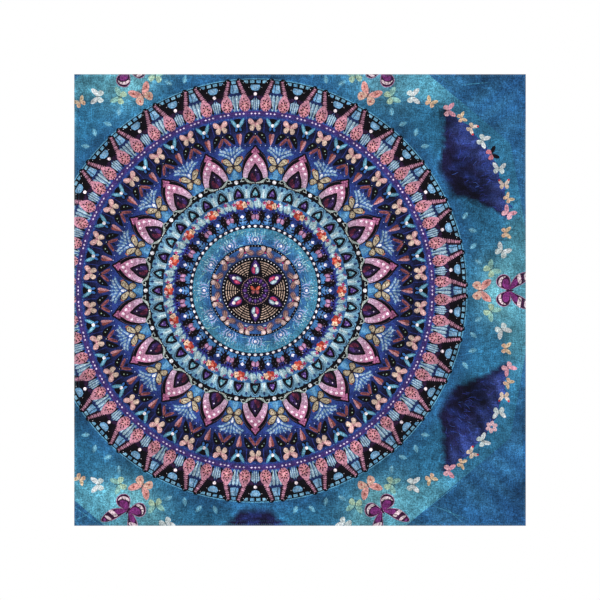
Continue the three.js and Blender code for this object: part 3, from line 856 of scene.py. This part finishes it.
def paint_black_wings(art):
    """Black-winged butterflies with pink hind wings, and a white stone between each two."""
    count, first = 18, 90
    between = first + 180 / count
    art.disc(162, wash(131, "#3f74a4", 162, "#2b3672"))
    art.ring(count, 147, [(whole([(0, 17), (9, 12), (0, 4)]), "#3a3a86"),
                          (whole([(0, -4), (10, -10), (9, -15), (0, -13)]), "#4c85b4")], first)
    tufts = [(leaf(15, 6, lean, u, -12), ink) for u, lean, ink in (
        (-5, -12, "#5b8fbd"), (5, 12, "#5b8fbd"), (0, 0, "#6f9fc6"), (-8, -6, "#41629f"), (8, 6, "#41629f"))]
    art.ring(count, 147, tufts, between)
    ragged = [(leaf(8, 3.4, tilt, u, v), BLACK) for u, v, tilt in (
        (12, 8, 20), (17, 6, 55), (18.5, -1, 85), (18, -7, 115), (14.5, -11, 140), (11, -12, 170),
        (7, 6, -20), (9, -4, 205))]
    fly = both(ragged + [
        (smooth([(5, 5), (7.5, 11), (13, 12.8), (18, 9), (20.4, 2), (19.6, -4), (16.4, -10), (12.4, -14.4),
                 (10, -9), (6, -2)]), BLACK),
        (smooth([(6, 4), (8, 9.5), (11, 9), (9.5, 3), (7.5, 0)]), "#3c2230"),
        (oval(8.6, 9.6, 1.3, 1.0, 5), "#a9a3ba"), (oval(6.4, 6.2, 1.0, 0.9, 5), "#a9a3ba"),
        (smooth([(0, 3.5), (4.4, 4.4), (8.2, 0), (6.4, -6.6), (2, -5.5), (0, -3)]), "#a67a98"),
        (smooth([(1.5, 2.2), (4.4, 2.6), (6.6, -0.5), (5, -4.2), (2.4, -3)]), "#c09ab8"),
        (dot(12.6, 4, 0.7, 5), "#8e8aa0"), (dot(15.4, -3, 0.6, 5), "#8e8aa0"),
    ])
    fly += [(oval(0, 2, 1.0, 6.5, 6), "#2a1b26"), (oval(0, 11, 2.2, 2.6, 6), BLACK)]
    art.ring(count, 147.5, moved(fly, 0, 0.95), first)
    gem = [
        (whole([(0, 6), (5.5, 0), (0, -6)]), "#2f4f9c"),
        (whole([(0, 3.8), (3.9, 0), (0, -3.8)]), "#edf3f4"),
    ]
    art.ring(count, 149, gem, between)


def paint_pearls(art):
    art.disc(132, "#171b33")
    pearl = [(smooth([(-3.4, 0.3), (0, 2.9), (3.4, 0.5), (0, -2.6)]), "#f4f6f5"),
             (smooth([(-2.4, -0.5), (0, -0.2), (2.7, -0.3), (0, -2.2)]), "#b7cfd6")]
    art.ring(66, 128, pearl)


def paint_watercolour(art):
    """A soft turquoise band with pale scrolls about a pearl."""
    count, first = 12, 90
    art.disc(124.5, wash(94, "#386a9a", 124, "#4d91a9"))
    cracks = 130
    for i in range(cracks):
        angle = 360 * (i + dice.uniform(-0.4, 0.4)) / cracks
        radius = dice.uniform(95, 121)
        length = dice.uniform(7, 13)
        kink = [(0, 0), (dice.uniform(-2, 2), 0.4 * length), (dice.uniform(-3, 3), length)]
        ink = dice.choice(("#8fc6bd", "#79b9bf", "#4f97b4", "#2f68a2"))
        lean = dice.choice((0, 90, 90, 40)) + dice.uniform(-25, 25)
        art.at(angle, radius - 4, moved([(stroke(kink, dice.uniform(1.2, 2.2)), ink)], lean))
    plume = [(leaf(19, 7, 0, 0, -6), "#579fb9"), (leaf(12, 3, 0, 0, -1), "#77b7c6")]
    art.ring(count * 2, 106, plume, first + 90 / count)
    scroll = both([
        (bow(0, 0, 6.4, -62, 62, 2.2), "#b6c4de"), (bow(0.5, 0, 11.6, -46, 40, 2.4), "#9eb0d4"),
        (bow(15, 3.5, 3.2, 20, 290, 2.0), "#93a8cf"),
        (dot(9.5, 9.4, 0.9, 5), "#cfe4f0"), (dot(5.2, 11.8, 0.9, 5), "#cfe4f0"),
        (leaf(9, 2.6, 32, 2, 5), "#93cbd8"),
    ])
    scroll += [(whole([(0, 5.4), (4.6, 0), (0, -5.4)]), "#4f7dc0"), (dot(0, 0, 2.9, 8), "#f3f5f7"),
               (leaf(11, 3, 0, 0, 5.4), "#a5d6dd"), (dot(0, 18.6, 1.1, 5), "#dcedf2")]
    scroll += both([(dot(u, v, 0.8, 5), "#c9d8e4") for u, v in
                    ((4, -8.5), (9, -8), (14, -7), (13, 14), (19, 8), (20, 16), (8, 19.5))])
    art.ring(count, 102, scroll, first)


def paint_tassels(art):
    """Cream petals in pairs over a beaded black line."""
    count, first = 12, 75
    art.disc(91.5, BLACK)
    art.disc(86.5, wash(66, "#32456f", 86, "#3b659a"))
    art.ring(90, 89, [(dot(0, 0, 0.85, 5), "#c3d3de")])
    tassel = both([
        (smooth([(1, 3), (9, 4), (17, 0), (23, -7), (20, -13), (12, -14), (5, -9)]), "#46486c"),
        (smooth([(2, 2), (9, 1), (15, -3.5), (19, -10.5), (13, -13), (6, -8)]), "#7d635e"),
        (stroke([(4, -1), (10, -3.5), (16.5, -9)], 2.4), "#b79d92"),
        (stroke([(3, -4), (8, -8), (13, -13)], 2.0), "#a98d84"),
        (stroke([(10, 1), (15.5, -2.5), (20.5, -8)], 1.6), "#9a8688"),
        (smooth([(0.8, 3), (3, 9.4), (9, 11), (13, 7), (10.6, 1.4), (5, -0.6)]), "#bfaba3"),
        (smooth([(2.6, 5), (5.4, 8.8), (9.6, 8.4), (10.4, 4.6), (6.5, 2.4)]), "#d8c9c0"),
        (dot(6.4, 6.6, 1.3, 6), "#eee5de"),
    ])
    tassel += [(oval(0, 2.5, 2.1, 5.8, 8), "#4a1b2b"), (oval(0, -3.6, 2.6, 2.2, 6), "#a3385f"),
               (whole([(0, -8), (4, -10), (0, -12.5)]), "#9fb9c6")]
    art.ring(count, 80.5, moved(tassel, 0, 0.84), first)


def paint_core(art):
    """The dark centre: six violet drops between rows of short bars, about a beaded disc."""
    art.disc(67, BLACK, 96)
    art.ring(60, 63.8, [(dot(0, 0, 1.25, 6), "#dfe3e0")])
    for i in range(6):
        middle = 60 * i
        for radius, spread, pieces in (
                (58, 21.5, 3), (53.5, 19, 3), (49, 16.7, 2), (44.5, 14.5, 2), (40, 12, 1)):
            for side in (-1, 1):
                width = (spread - 1.2) / pieces
                for j in range(pieces):
                    start = 1.2 + j * width
                    art.arc_bar(radius, 1.75, middle + side * start, middle + side * (start + width * 0.84),
                                "#c6b39e")
        art.at(middle, 0, both([(dot(2.6, 35.6, 1.2, 5), "#b9ab9a")]) + [(dot(0, 32, 1.1, 5), "#b9ab9a")])
    drop = [(smooth(whole([(0, 15), (3.6, 10.5), (8, 3), (9.4, -6), (6.4, -13.5), (0, -16)]), 2), "#33215c"),
            (smooth(whole([(0, 11.5), (2.6, 8), (4.8, 3.4), (0, 2)]), 2), "#4d3580"),
            (dot(-1.6, 8, 0.7, 5), "#b5a9cf"), (dot(1.4, 9.6, 0.6, 5), "#b5a9cf"),
            (dot(0.6, 5.8, 0.6, 5), "#b5a9cf"),
            (smooth([(-1, -14), (-6.4, -11), (-7, -3.5), (-3.2, 0.5), (-0.8, -5)]), "#ab3c61"),
            (smooth([(-2.4, -11), (-5, -8.5), (-4.6, -4), (-2.4, -5)]), "#cf6f86"),
            (smooth([(1, -14), (6.4, -11), (7, -3.5), (3.2, 0.5), (0.8, -5)]), "#9cbdbf"),
            (smooth([(2.4, -11), (5, -8.5), (4.6, -4), (2.4, -5)]), "#c4dad8"),
            (dot(0, 2, 3.5, 9), "#f1ece6")]
    art.ring(6, 47.5, drop)
    art.disc(29, "#241833", 60)
    art.ring(44, 27.4, [(oval(0, 0, 1.3, 0.75, 5), "#ab917c")])
    art.ring(12, 21.5, [(leaf(9.6, 7.4, 0, 0, -5), "#452b67"), (leaf(8, 2.2, 0, 0, -4), "#6c4a8c")])
    art.ring(12, 21.5, [(dot(0, 0, 1.0, 5), "#c7c1d6")], 75)
    art.disc(16.5, "#100c16", 48)
    art.ring(20, 14.6, [(dot(0, 0, 0.85, 5), "#bdb4ab")])
    art.at(90, 0, moved(butterfly("#a8513f", "#7d4a52", "#2a1820", spots="#c98670"), 0, 9.5))


def paint_tapestry():
    art = Artwork()
    for paint in (paint_halo, paint_rays, paint_wings, paint_garland, paint_rim, paint_violet_band,
                  paint_moths, paint_petals, paint_arcade, paint_flowers, paint_black_wings,
                  paint_pearls, paint_watercolour, paint_tassels, paint_core):
        paint(art)
    return art


# ==== How the cloth hangs ====
STAND_OUT = 2.0  # the most that a ripple stands forward, in millimetres
HANG_CELLS = 60  # squares to a side of the coarse cloth
HANG_FRAMES = 26
SEWN_ROWS = 4  # rows of its points that each sleeve holds


def ripple_by_simulation():
    """Hangs a coarse cloth, a little too big for its frame, from its two sleeves."""
    side = HANG_CELLS + 1
    steps = np.linspace(-SIDE / 2, SIDE / 2, side) * MM
    # It starts with a slight wave, because a quite flat cloth has no side to buckle towards.
    verts = [(x, 0.0006 * math.sin(x * 23 + 1.3) * math.sin(z * 9 + 0.5), z) for x in steps for z in steps]
    mesh = bpy.data.meshes.new("hanging_trial")
    mesh.from_pydata(verts, [], [(a, d, c, b) for a, b, c, d in grid_quads(side, side)])
    trial = add_object("hanging_trial", mesh)
    sewn = trial.vertex_groups.new(name="sewn")
    rows = [j for j in range(side) if j < SEWN_ROWS or j >= side - SEWN_ROWS]
    sewn.add([i * side + j for i in range(side) for j in rows], 1.0, "REPLACE")
    cloth = trial.modifiers.new("cloth", "CLOTH")
    cloth.settings.vertex_group_mass = "sewn"
    cloth.settings.quality = 6
    cloth.settings.mass = 0.12
    cloth.settings.bending_stiffness = 0.6
    cloth.settings.shrink_min = -0.003
    cloth.point_cache.frame_start = 1
    cloth.point_cache.frame_end = HANG_FRAMES
    for number in range(1, HANG_FRAMES + 1):
        bpy.context.scene.frame_set(number)
    hung = trial.evaluated_get(bpy.context.evaluated_depsgraph_get()).to_mesh()
    places = np.empty(len(hung.vertices) * 3, np.float32)
    hung.vertices.foreach_get("co", places)
    bpy.data.objects.remove(trial)
    bpy.context.scene.frame_set(1)
    return -places.reshape(side, side, 3)[:, :, 1] / MM


def blurred(grid):
    """Each value of a grid averaged with its four neighbours, its own counted twice."""
    pad = np.pad(grid, ((1, 1), (1, 1)) + ((0, 0),) * (grid.ndim - 2), mode="edge")
    return (pad[:-2, 1:-1] + pad[2:, 1:-1] + pad[1:-1, :-2] + pad[1:-1, 2:] + 2 * grid) / 6


def find_ripples():
    """A grid of how far the cloth stands forward of flat, from 0 to STAND_OUT."""
    depth = ripple_by_simulation()
    depth = blurred(blurred(depth))
    low, high = np.percentile(depth, 2), np.percentile(depth, 98)
    depth = np.clip((depth - low) / max(high - low, 1e-6), 0, 1)
    down = np.linspace(1, 0, HANG_CELLS + 1)
    free = np.sin(np.pi * np.clip((down - 0.065) / 0.85, 0, 1)) ** 0.7  # none at the two sleeves
    return depth * free[None, :] * STAND_OUT


def relief(x, z):
    """How far the cloth stands forward at places on it, measured from its middle, in millimetres."""
    cells = HANG_CELLS
    u = np.clip((np.asarray(x) / SIDE + 0.5) * cells, 0, cells - 1e-6)
    v = np.clip((np.asarray(z) / SIDE + 0.5) * cells, 0, cells - 1e-6)
    i, j = u.astype(int), v.astype(int)
    a, b = u - i, v - j
    a, b = a * a * (3 - 2 * a), b * b * (3 - 2 * b)
    return ((1 - a) * (1 - b) * ripples[i, j] + a * (1 - b) * ripples[i + 1, j]
            + (1 - a) * b * ripples[i, j + 1] + a * b * ripples[i + 1, j + 1])


def relief_at(x, z):
    """The same for places in the frame."""
    return relief(np.asarray(x) - MIDDLE_X / MM, np.asarray(z) - MIDDLE_Z / MM)


# ==== The cloth ====
CLOUDS = {field_ink: 1.0, outer_ink: 1.1, wing_ink: 1.9}  # how cloudy each ink takes
PLAIN_CLOUDS = 0.3
GRID = 7.5  # spacing of the cloth's own points, in millimetres
EDGE_ROLL = 0.9  # how far in from its edge the cloth starts to roll back
ROLL_DEPTH = 0.45  # how far back the very edge lies
INK_STRENGTH = (1.03, 0.93, 1.0)
INK_DEPTH = 1.1


def cut_cloth(outlines):
    """The cloth cut along every outline, of which the first is its own edge: its points, its
    triangles and, for each triangle, the number of the last outline painted over it."""
    points, faces = [], []
    for outline in outlines:
        faces.append(list(range(len(points), len(points) + len(outline))))
        points.extend(Vector(p) for p in outline)
    cells = round(SIDE / GRID)
    steps = [-SIDE / 2 + SIDE * i / cells for i in range(cells + 1)]
    points += [Vector((x, z)) for x in steps for z in steps]
    spots, _, corners, _, _, owners = delaunay_2d_cdt(points, [], faces, 0, 1e-4)
    kept = [i for i, own in enumerate(owners) if 0 in own]
    spots = np.array([(p[0], p[1]) for p in spots])
    return spots, np.array([corners[i] for i in kept]), np.array([max(owners[i]) for i in kept])


def make_front_sheet(art):
    """The printed face. Also gives the middle, area and colour of each of its triangles."""
    margins = [square(inset) for inset in (0.0, 0.3, EDGE_ROLL)]
    inks = [field_ink] * len(margins) + art.inks
    spots, triangles, top = cut_cloth(margins + art.outlines)
    flat = spots[triangles]
    side_a, side_b = flat[:, 1] - flat[:, 0], flat[:, 2] - flat[:, 0]
    area = side_a[:, 0] * side_b[:, 1] - side_a[:, 1] * side_b[:, 0]
    triangles[area < 0] = triangles[area < 0][:, ::-1]

    shades = np.ones((len(triangles), 3, 4), np.float32)
    for index in np.unique(top):
        rows = np.flatnonzero(top == index)
        ink = inks[index]
        if callable(ink):
            where = spots[triangles[rows]].reshape(-1, 2)
            shades[rows, :, :3] = ink(where[:, 0], where[:, 1]).reshape(-1, 3, 3)
        else:
            shades[rows, :, :3] = colour(ink)
        shades[rows, :, 3] = CLOUDS.get(ink, PLAIN_CLOUDS)
    shades[:, :, :3] = np.array(INK_STRENGTH) * shades[:, :, :3] ** INK_DEPTH

    used, triangles = np.unique(triangles, return_inverse=True)
    triangles = triangles.reshape(-1, 3)
    spots = spots[used]
    edge = SIDE / 2 - np.max(np.abs(spots), axis=1)
    roll = ROLL_DEPTH * (1 - np.clip(edge / EDGE_ROLL, 0, 1)) ** 2
    y = FRONT - relief(spots[:, 0], spots[:, 1]) + roll
    verts = np.column_stack([MIDDLE_X + spots[:, 0] * MM, y * MM, MIDDLE_Z + spots[:, 1] * MM])

    mesh = bpy.data.meshes.new("tapestry_front")
    mesh.from_pydata(verts.tolist(), [], triangles.tolist())
    layer = mesh.color_attributes.new("print", "FLOAT_COLOR", "CORNER")
    layer.data.foreach_set("color", shades.reshape(-1))
    mesh.shade_smooth()
    mesh.materials.append(printed_material())
    front = add_object("tapestry_front", mesh)
    return front, flat.mean(axis=1), np.abs(area), shades[:, :, :3].mean(axis=1)


def make_reverse_sheet(middles, areas, shades):
    """The cloth's other face: what soaks through of the print, blurred and pale."""
    cells = 180
    inset = 0.6
    weight = np.zeros((cells + 1, cells + 1))
    total = np.zeros((cells + 1, cells + 1, 3))
    i, j = (np.clip(np.rint((middles[:, k] / SIDE + 0.5) * cells), 0, cells).astype(int) for k in (0, 1))
    np.add.at(weight, (i, j), areas)
    np.add.at(total, (i, j), shades * areas[:, None])
    soaked = blurred(blurred(total)) / np.maximum(blurred(blurred(weight)), 1e-6)[..., None]
    steps = np.linspace(-SIDE / 2 + inset, SIDE / 2 - inset, cells + 1)
    rows = [[(MIDDLE_X / MM + x, BACK - float(d), MIDDLE_Z / MM + z)
             for z, d in zip(steps, relief(np.full(cells + 1, x), steps))] for x in steps]
    verts = [spot for row in rows for spot in row]
    reverse = make_object("tapestry_reverse", verts, grid_quads(len(rows), cells + 1), reverse_material())
    layer = reverse.data.color_attributes.new("soaked", "FLOAT_COLOR", "POINT")
    shade = np.ones(((cells + 1) ** 2, 4), np.float32)
    shade[:, :3] = soaked.reshape(-1, 3)
    layer.data.foreach_set("color", shade.reshape(-1))
    return reverse


# ==== Mesh helpers; all places in millimetres ====
def grid_quads(rows, across):
    """The faces of a grid of points, given row by row."""
    starts = [i * across + j for i in range(rows - 1) for j in range(across - 1)]
    return [(a, a + 1, a + across + 1, a + across) for a in starts]


def make_object(name, verts, faces, material):
    mesh = bpy.data.meshes.new(name)
    mesh.from_pydata([(x * MM, y * MM, z * MM) for x, y, z in verts], [], faces)
    mesh.shade_smooth()
    mesh.materials.append(material)
    return add_object(name, mesh)


def belongs(piece, stands_for=None):
    """Puts a piece on the cloth's body, and hides the CAD node that it replaces."""
    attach(piece, "tapestry")
    if stands_for:
        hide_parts(stands_for)


def tape(name, lines, thickness, material):
    """A thin closed band, thinner at its two long edges. Every line is the band's middle at one
    station, with as many points as the rest."""
    edge_share = 0.55  # of the thickness
    verts = []
    for line in lines:
        near, far = [], []
        for i, point in enumerate(line):
            before, after = Vector(line[max(i - 1, 0)]), Vector(line[min(i + 1, len(line) - 1)])
            along = (after - before).normalized()
            # The band runs along x or along z, so its section lies in the other plane.
            normal = Vector((0, -along.z, along.y)) if abs(along.x) < 1e-6 else Vector((-along.y, along.x, 0))
            thin = thickness / 2 * (edge_share if i in (0, len(line) - 1) else 1.0)
            near.append(Vector(point) + normal * thin)
            far.append(Vector(point) - normal * thin)
        verts += near + far[::-1]
    ring = 2 * len(lines[0])
    faces = []
    for i in range(len(lines) - 1):
        for j in range(ring):
            a, b = i * ring + j, i * ring + (j + 1) % ring
            faces.append((a, b, b + ring, a + ring))
    for j in range(ring // 2 - 1):
        end = (len(lines) - 1) * ring
        faces.append((j, ring - 1 - j, ring - 2 - j, j + 1))
        faces.append((end + j, end + j + 1, end + ring - 2 - j, end + ring - 1 - j))
    return make_object(name, verts, faces, material)


def turn(u, z, radius, start, end, steps):
    """Points on an arc; u is the distance from the wall."""
    out = []
    for i in range(steps + 1):
        a = math.radians(start + (end - start) * i / steps)
        out.append((u + radius * math.cos(a), z + radius * math.sin(a)))
    return out


def resample(line, count):
    """The line again, as points evenly spaced along it."""
    line = np.array(line, float)
    run = np.concatenate([[0], np.cumsum(np.hypot(*np.diff(line, axis=0).T))])
    where = np.linspace(0, run[-1], count)
    return np.column_stack([np.interp(where, run, line[:, k]) for k in (0, 1)]), run[-1]


def make_stitches(name, runs, material):
    """Rows of short thread loops. A run is (start, end, depth, facing): places across the cloth,
    how far its surface is in front of the wall's plane before the ripples, and 1 for the back."""
    verts, faces = [], []
    pitch, length, radius = 4.0, 3.1, 0.24
    for start, end, depth, facing in runs:
        a, b = Vector(start), Vector(end)
        distance = (b - a).length
        along = (b - a) / distance
        side = Vector((along.y, -along.x))
        for i in range(int(distance / pitch)):
            middle = a + along * (pitch * (i + 0.5) + dice.uniform(-0.12, 0.12))
            slant = dice.uniform(-0.12, 0.12)
            stand = -float(relief_at(middle.x, middle.y))
            base = len(verts)
            for t, size in ((-0.5, 0.35), (-0.3, 1.0), (0.3, 1.0), (0.5, 0.35)):
                for w, h in ((-1.0, -0.4), (-0.55, 0.75), (0.55, 0.75), (1.0, -0.4)):
                    spot = middle + along * (t * length) + side * (w * radius * size + slant * t)
                    rise = h * radius * size - (1 - size) * radius
                    verts.append((spot.x, depth + stand + facing * rise, spot.y))
            for j in range(3):
                for k in range(3):
                    c = base + j * 4 + k
                    quad = (c, c + 1, c + 5, c + 4)
                    faces.append(quad if facing > 0 else quad[::-1])
    return make_object(name, verts, faces, material)


# ==== Materials of the other pieces ====
def reverse_material():
    shader = Shader("printed_cloth_reverse", 0.92, Sheen_Weight=0.1)
    grain = cloth_grain(shader)
    pale = shader.mix(0.46, shader.mesh_colour("soaked")["Color"], "#c9d5da")
    shader.base(shader.mix(shader.ranged(grain, 0.35, 0.65, 0.0, 0.38), pale, "#eef1f1"))
    return shader.bump(grain, 0.0005, 0.5)


def hem_material():
    shader = Shader("hem_cloth", 0.9, Sheen_Weight=0.1)
    grain = cloth_grain(shader)
    tint = shader.mix(shader.ranged(shader.noise(30, 4.0), 0.35, 0.65), "#5f8fae", "#86adc0")
    shader.base(shader.mix(shader.ranged(grain, 0.38, 0.66, 0.0, 0.55), tint, "#c3d4da"))
    return shader.bump(grain, 0.0005, 0.6)


def sleeve_material():
    shader = Shader("sleeve_cloth", 0.86, Sheen_Weight=0.15)
    pitch = 0.0011
    threads = shader.product(shader.waves("X", pitch), shader.waves("Z", pitch))
    slub = cloth_grain(shader)
    tone = shader.mix(shader.ranged(slub, 0.35, 0.65), "#c4c9c9", "#dfe1de")
    # Darker grey where the threads dip, between them: painted shade in the weave's gaps.
    shader.base(shader.mix(shader.ranged(threads, 0.0, 0.5, 0.35, 0.0), tone, "#9da5a8"))
    return shader.bump(shader.maths("ADD", threads, slub), 0.0003, 0.5)


def label_material():
    shader = Shader("label_ribbon", 0.42, Sheen_Weight=0.3, Anisotropic=0.4)
    shader.base(shader.mix(shader.ranged(shader.noise(90), 0.35, 0.65), "#e7e6e0", "#f2f1ec"))
    return shader.bump(shader.waves("Z", 0.0006), 0.0001, 0.4)


def thread_material(name, shade):
    shader = Shader(name, 0.6)
    ply = shader.waves("DIAGONAL", 0.0007)
    shader.base(shader.mix(shader.ranged(ply, 0.0, 1.0, 0.0, 0.4), shade, "#20303c"))
    return shader.bump(ply, 0.0001, 0.5)


def steel_material(name, shade, worn):
    """Steel drawn or rolled along x."""
    shader = Shader(name, 0.34, Metallic=1.0)
    drawn = shader.noise(1900, 3.0, (0.02, 1.0, 1.0))
    cloud = shader.noise(45, 4.0)
    shader.base(shader.mix(shader.ranged(cloud, 0.38, 0.68), shade, worn))
    shader.rough(shader.ranged(shader.maths("ADD", drawn, cloud), 0.7, 1.3, 0.24, 0.5))
    return shader.bump(drawn, 0.00006, 0.6)


def plastic_material(name, shade, second, roughness, pebble):
    shader = Shader(name, roughness)
    haze = shader.noise(60, 4.0)
    shader.base(shader.mix(shader.ranged(haze, 0.36, 0.66), shade, second))
    shader.rough(shader.ranged(haze, 0.3, 0.7, roughness * 0.8, roughness * 1.25))
    return shader.bump(shader.noise(pebble), 0.00006, 0.5)


def foam_material():
    shader = Shader("pad_foam", 0.8)
    cells = shader.node("TexVoronoi", "Distance", Vector=shader.place, Scale=1500)
    # Darker near each cell's middle, where the bump makes a pit: painted shade in the foam's pores.
    shader.base(shader.mix(shader.ranged(cells, 0.1, 0.6), "#c3cccd", "#e2e6e5"))
    return shader.bump(cells, 0.0001, 0.8)


def coat(names, material):
    for name in names:
        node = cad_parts[name]
        node.data.materials.clear()
        node.data.materials.append(material)


def finish_hardware():
    coat(["hanging_rod"], steel_material("drawn_steel", "#a9abad", "#8d9093"))
    coat(["weight_bar"], steel_material("rolled_steel", "#8f9194", "#6f7174"))
    coat([f"{part}_cap_{side}" for part in ("rod", "bar") for side in ("left", "right")],
         plastic_material("cap_plastic", "#dcdcd8", "#e6e6e2", 0.5, 1400))
    coat(["wall_hook_left", "wall_hook_right"],
         plastic_material("hook_plastic", "#e9e9e6", "#f0f0ed", 0.22, 500))
    coat(["adhesive_pad_left", "adhesive_pad_right"], foam_material())


# ==== Hems, sleeves, label and stitching ====
CLOTH_STRIP = 0.7  # how thick the hems and the sleeves are
GAP = 0.8  # from the rod, or the bar's caps, to the middle of a sleeve's cloth
FOLD = 1.4  # radius of the sleeves' folds
FLAT_SEAM = 6.5  # how much of a sleeve lies flat along a sewn edge


def hem_section():
    """From the cloth's front round its edge and back over its reverse: (inwards, y) pairs."""
    (_, low_y, low_z), (_, high_y, high_z) = box_mm("top_hem")
    middle = (low_y + high_y) / 2
    width = high_z - low_z
    fold = [(1.1, FRONT + 0.5), (0.75, FRONT + 0.42), (0.42, FRONT + 0.6), (0.3, BACK),
            (0.36, middle - 0.3), (0.62, middle - 0.05), (1.2, middle + 0.05)]
    flat = [(d, middle + 0.06 * math.sin(d)) for d in np.linspace(2.4, width - 0.6, 6)]
    return fold + flat + [(width - 0.1, middle - 0.12)]


def make_hems():
    fabric = hem_material()
    section = hem_section()
    hems = []
    for name, edge, inward in (("top_hem", TOP, -1), ("bottom_hem", BOTTOM, 1),
                               ("left_hem", EDGE_LEFT, 1), ("right_hem", EDGE_RIGHT, -1)):
        lines = []
        if edge in (TOP, BOTTOM):
            for x in np.linspace(EDGE_LEFT + 0.3, EDGE_RIGHT - 0.3, 121):
                lines.append([(x, y - float(relief_at(x, edge)), edge + inward * d) for d, y in section])
        else:
            for z in np.linspace(box_mm(name)[0][2], box_mm(name)[1][2], 119):
                lines.append([(edge + inward * d, y - float(relief_at(edge + inward * d, z)), z)
                              for d, y in section])
        hem = tape(name + "_cloth", lines, CLOTH_STRIP, fabric)
        belongs(hem, name)
        hems.append(hem)
    return hems


def hump(t, start, width=0.42):
    """Rises from 0 at start to 1 and back over a width."""
    return math.sin(math.pi * min(max((t - start) / width, 0), 1))


def make_sleeve(name, line, half_length, count, puff, fabric):
    """A sewn strip along x. puff says how far it may stand off at a fraction of its line."""
    points, length = resample(line, count)
    turns = np.gradient(points, axis=0)
    normals = np.column_stack([turns[:, 1], -turns[:, 0]])
    normals /= np.linalg.norm(normals, axis=1)[:, None]
    lines = []
    for x in np.linspace(-half_length, half_length, 141):
        wave = (0.5 + 0.28 * math.sin(x * 0.083 + 0.7) + 0.22 * math.sin(x * 0.21 + 2.0)
                + 0.12 * math.sin(x * 0.47))
        stand = [puff(i / (count - 1)) * wave for i in range(count)]
        lines.append([(x, -(u + n[0] * s), z + n[1] * s) for (u, z), n, s in zip(points, normals, stand)])
    sleeve = tape(name + "_cloth", lines, CLOTH_STRIP, fabric)
    belongs(sleeve, name)


def make_rod_sleeve(fabric):
    (_, _, low), (half, _, high) = box_mm("rod_sleeve")
    rod_low, rod_high = box_mm("hanging_rod")
    axis = -(rod_low[1] + rod_high[1]) / 2
    radius = (rod_high[2] - rod_low[2]) / 2 + GAP
    sewn = -BACK - CLOTH_STRIP
    seam = low + FLAT_SEAM
    reach = math.hypot(sewn - axis, seam)
    leaves = 360 + math.degrees(math.atan2(seam, sewn - axis) - math.acos(radius / reach))
    line = [(sewn, high), (sewn, high - 3)]
    line += turn(sewn - FOLD, radius + FOLD, FOLD, 0, -90, 6)
    line += turn(axis, 0, radius, 90, leaves, 18)
    line += [(sewn, seam), (sewn, low)]
    make_sleeve("rod_sleeve", line, half, 64, lambda t: 0.9 * hump(t, 0.45) + 0.08, fabric)


def make_bar_sleeve(fabric):
    (_, _, low), (half, back, high) = box_mm("bar_sleeve")
    cap_low, cap_high = box_mm("bar_cap_left")
    middle = (cap_low[2] + cap_high[2]) / 2
    tall = (cap_high[2] - cap_low[2]) / 2 + GAP
    sewn = -BACK - CLOTH_STRIP
    rear = -back + 0.4  # the middle of its cloth on the wall's side
    line = [(sewn, high), (sewn, high - FLAT_SEAM)]
    line += turn(rear + FOLD, middle + tall - FOLD, FOLD, 160, 180, 3)
    line += turn(rear + FOLD, middle - tall + FOLD, FOLD, 180, 270, 6)
    line += turn(sewn - FOLD, middle - tall - FOLD, FOLD, 90, 0, 6)
    line += [(sewn, low)]
    make_sleeve("bar_sleeve", line, half, 56, lambda t: -0.8 * hump(t, 0.12) - 0.05, fabric)


def make_label():
    """A ribbon folded double, caught under the side hem, its fold lifting a little off the cloth."""
    (left, low_y, low), (right, _, high) = box_mm("care_label")
    sewn = right + 2.5  # its end, under the hem
    reach = sewn - left - 0.6
    under, over = low_y + 0.3, low_y + 0.62  # where its two layers lie
    lift = 1.5  # how far the folded end stands off the cloth
    lines = []
    for z in np.linspace(low, high, 15):
        curl = 0.5 + 0.5 * math.sin((z - low) / (high - low) * math.pi)
        line = []
        for t in np.linspace(0, 1, 12):
            line.append((sewn - t * reach, under + lift * t * t * curl, z))
        tip = line[-1]
        line.append((tip[0] - 0.45, tip[1] + 0.28, z))
        for t in np.linspace(1, 0, 12):
            line.append((sewn - t * reach, over + (lift * t * t + 0.35 * t) * curl, z))
        lines.append(line)
    label = tape("care_label_ribbon", lines, 0.2, label_material())
    belongs(label, "care_label")


def make_all_stitches():
    """Two rows round the hems that show on both faces, and the sleeves' and the label's seams."""
    hem_back = box_mm("top_hem")[1][1] + 0.02
    edge, inner, seams = [], [], []
    for runs, d in ((edge, 3.2), (inner, 9.4)):  # each row's distance from the cloth's edge
        corners = [(EDGE_LEFT + d, BOTTOM + d), (EDGE_RIGHT - d, BOTTOM + d), (EDGE_RIGHT - d, TOP - d),
                   (EDGE_LEFT + d, TOP - d)]
        for a, b in zip(corners, corners[1:] + corners[:1]):
            runs += [(a, b, FRONT, -1), (a, b, hem_back, 1)]
    for name in ("rod_sleeve", "bar_sleeve"):
        (left, _, low), (right, _, high) = box_mm(name)
        for z in (low + 1.6, low + 4.4, high - 1.8):
            seams.append(((left + 2, z), (right - 2, z), BACK + 1.5 * CLOTH_STRIP - 0.03, 1))
    (_, _, low), (right, back, high) = box_mm("care_label")
    seams.append(((right - 2, low + 1), (right - 2, high - 1), back + 0.3, 1))
    made = []
    for name, runs, thread, shade, slot in (
            ("edge_stitching", edge, "thread_pale_blue", "#8fc3da", "hem_fabric"),
            ("hem_stitching", inner, "thread_blue", "#33698f", "hem_fabric"),
            ("sleeve_stitching", seams, "thread_white", "#b9c2c6", "sleeve_fabric")):
        made.append(make_stitches(name, runs, thread_material(thread, shade)))
        belongs(made[-1])
    return made


# ==== The scene ====
ripples = find_ripples()
make_camera()
make_world()
for light in LIGHTS:
    make_light(*light)
make_floor()
finish_hardware()

front, middles, areas, shades = make_front_sheet(paint_tapestry())
reverse = make_reverse_sheet(middles, areas, shades)
belongs(front, "printed_cloth")
belongs(reverse)
hems = make_hems()
sleeve_fabric = sleeve_material()
make_rod_sleeve(sleeve_fabric)
make_bar_sleeve(sleeve_fabric)
make_label()
threads = make_all_stitches()

bpy.context.scene.view_settings.view_transform = "Standard"
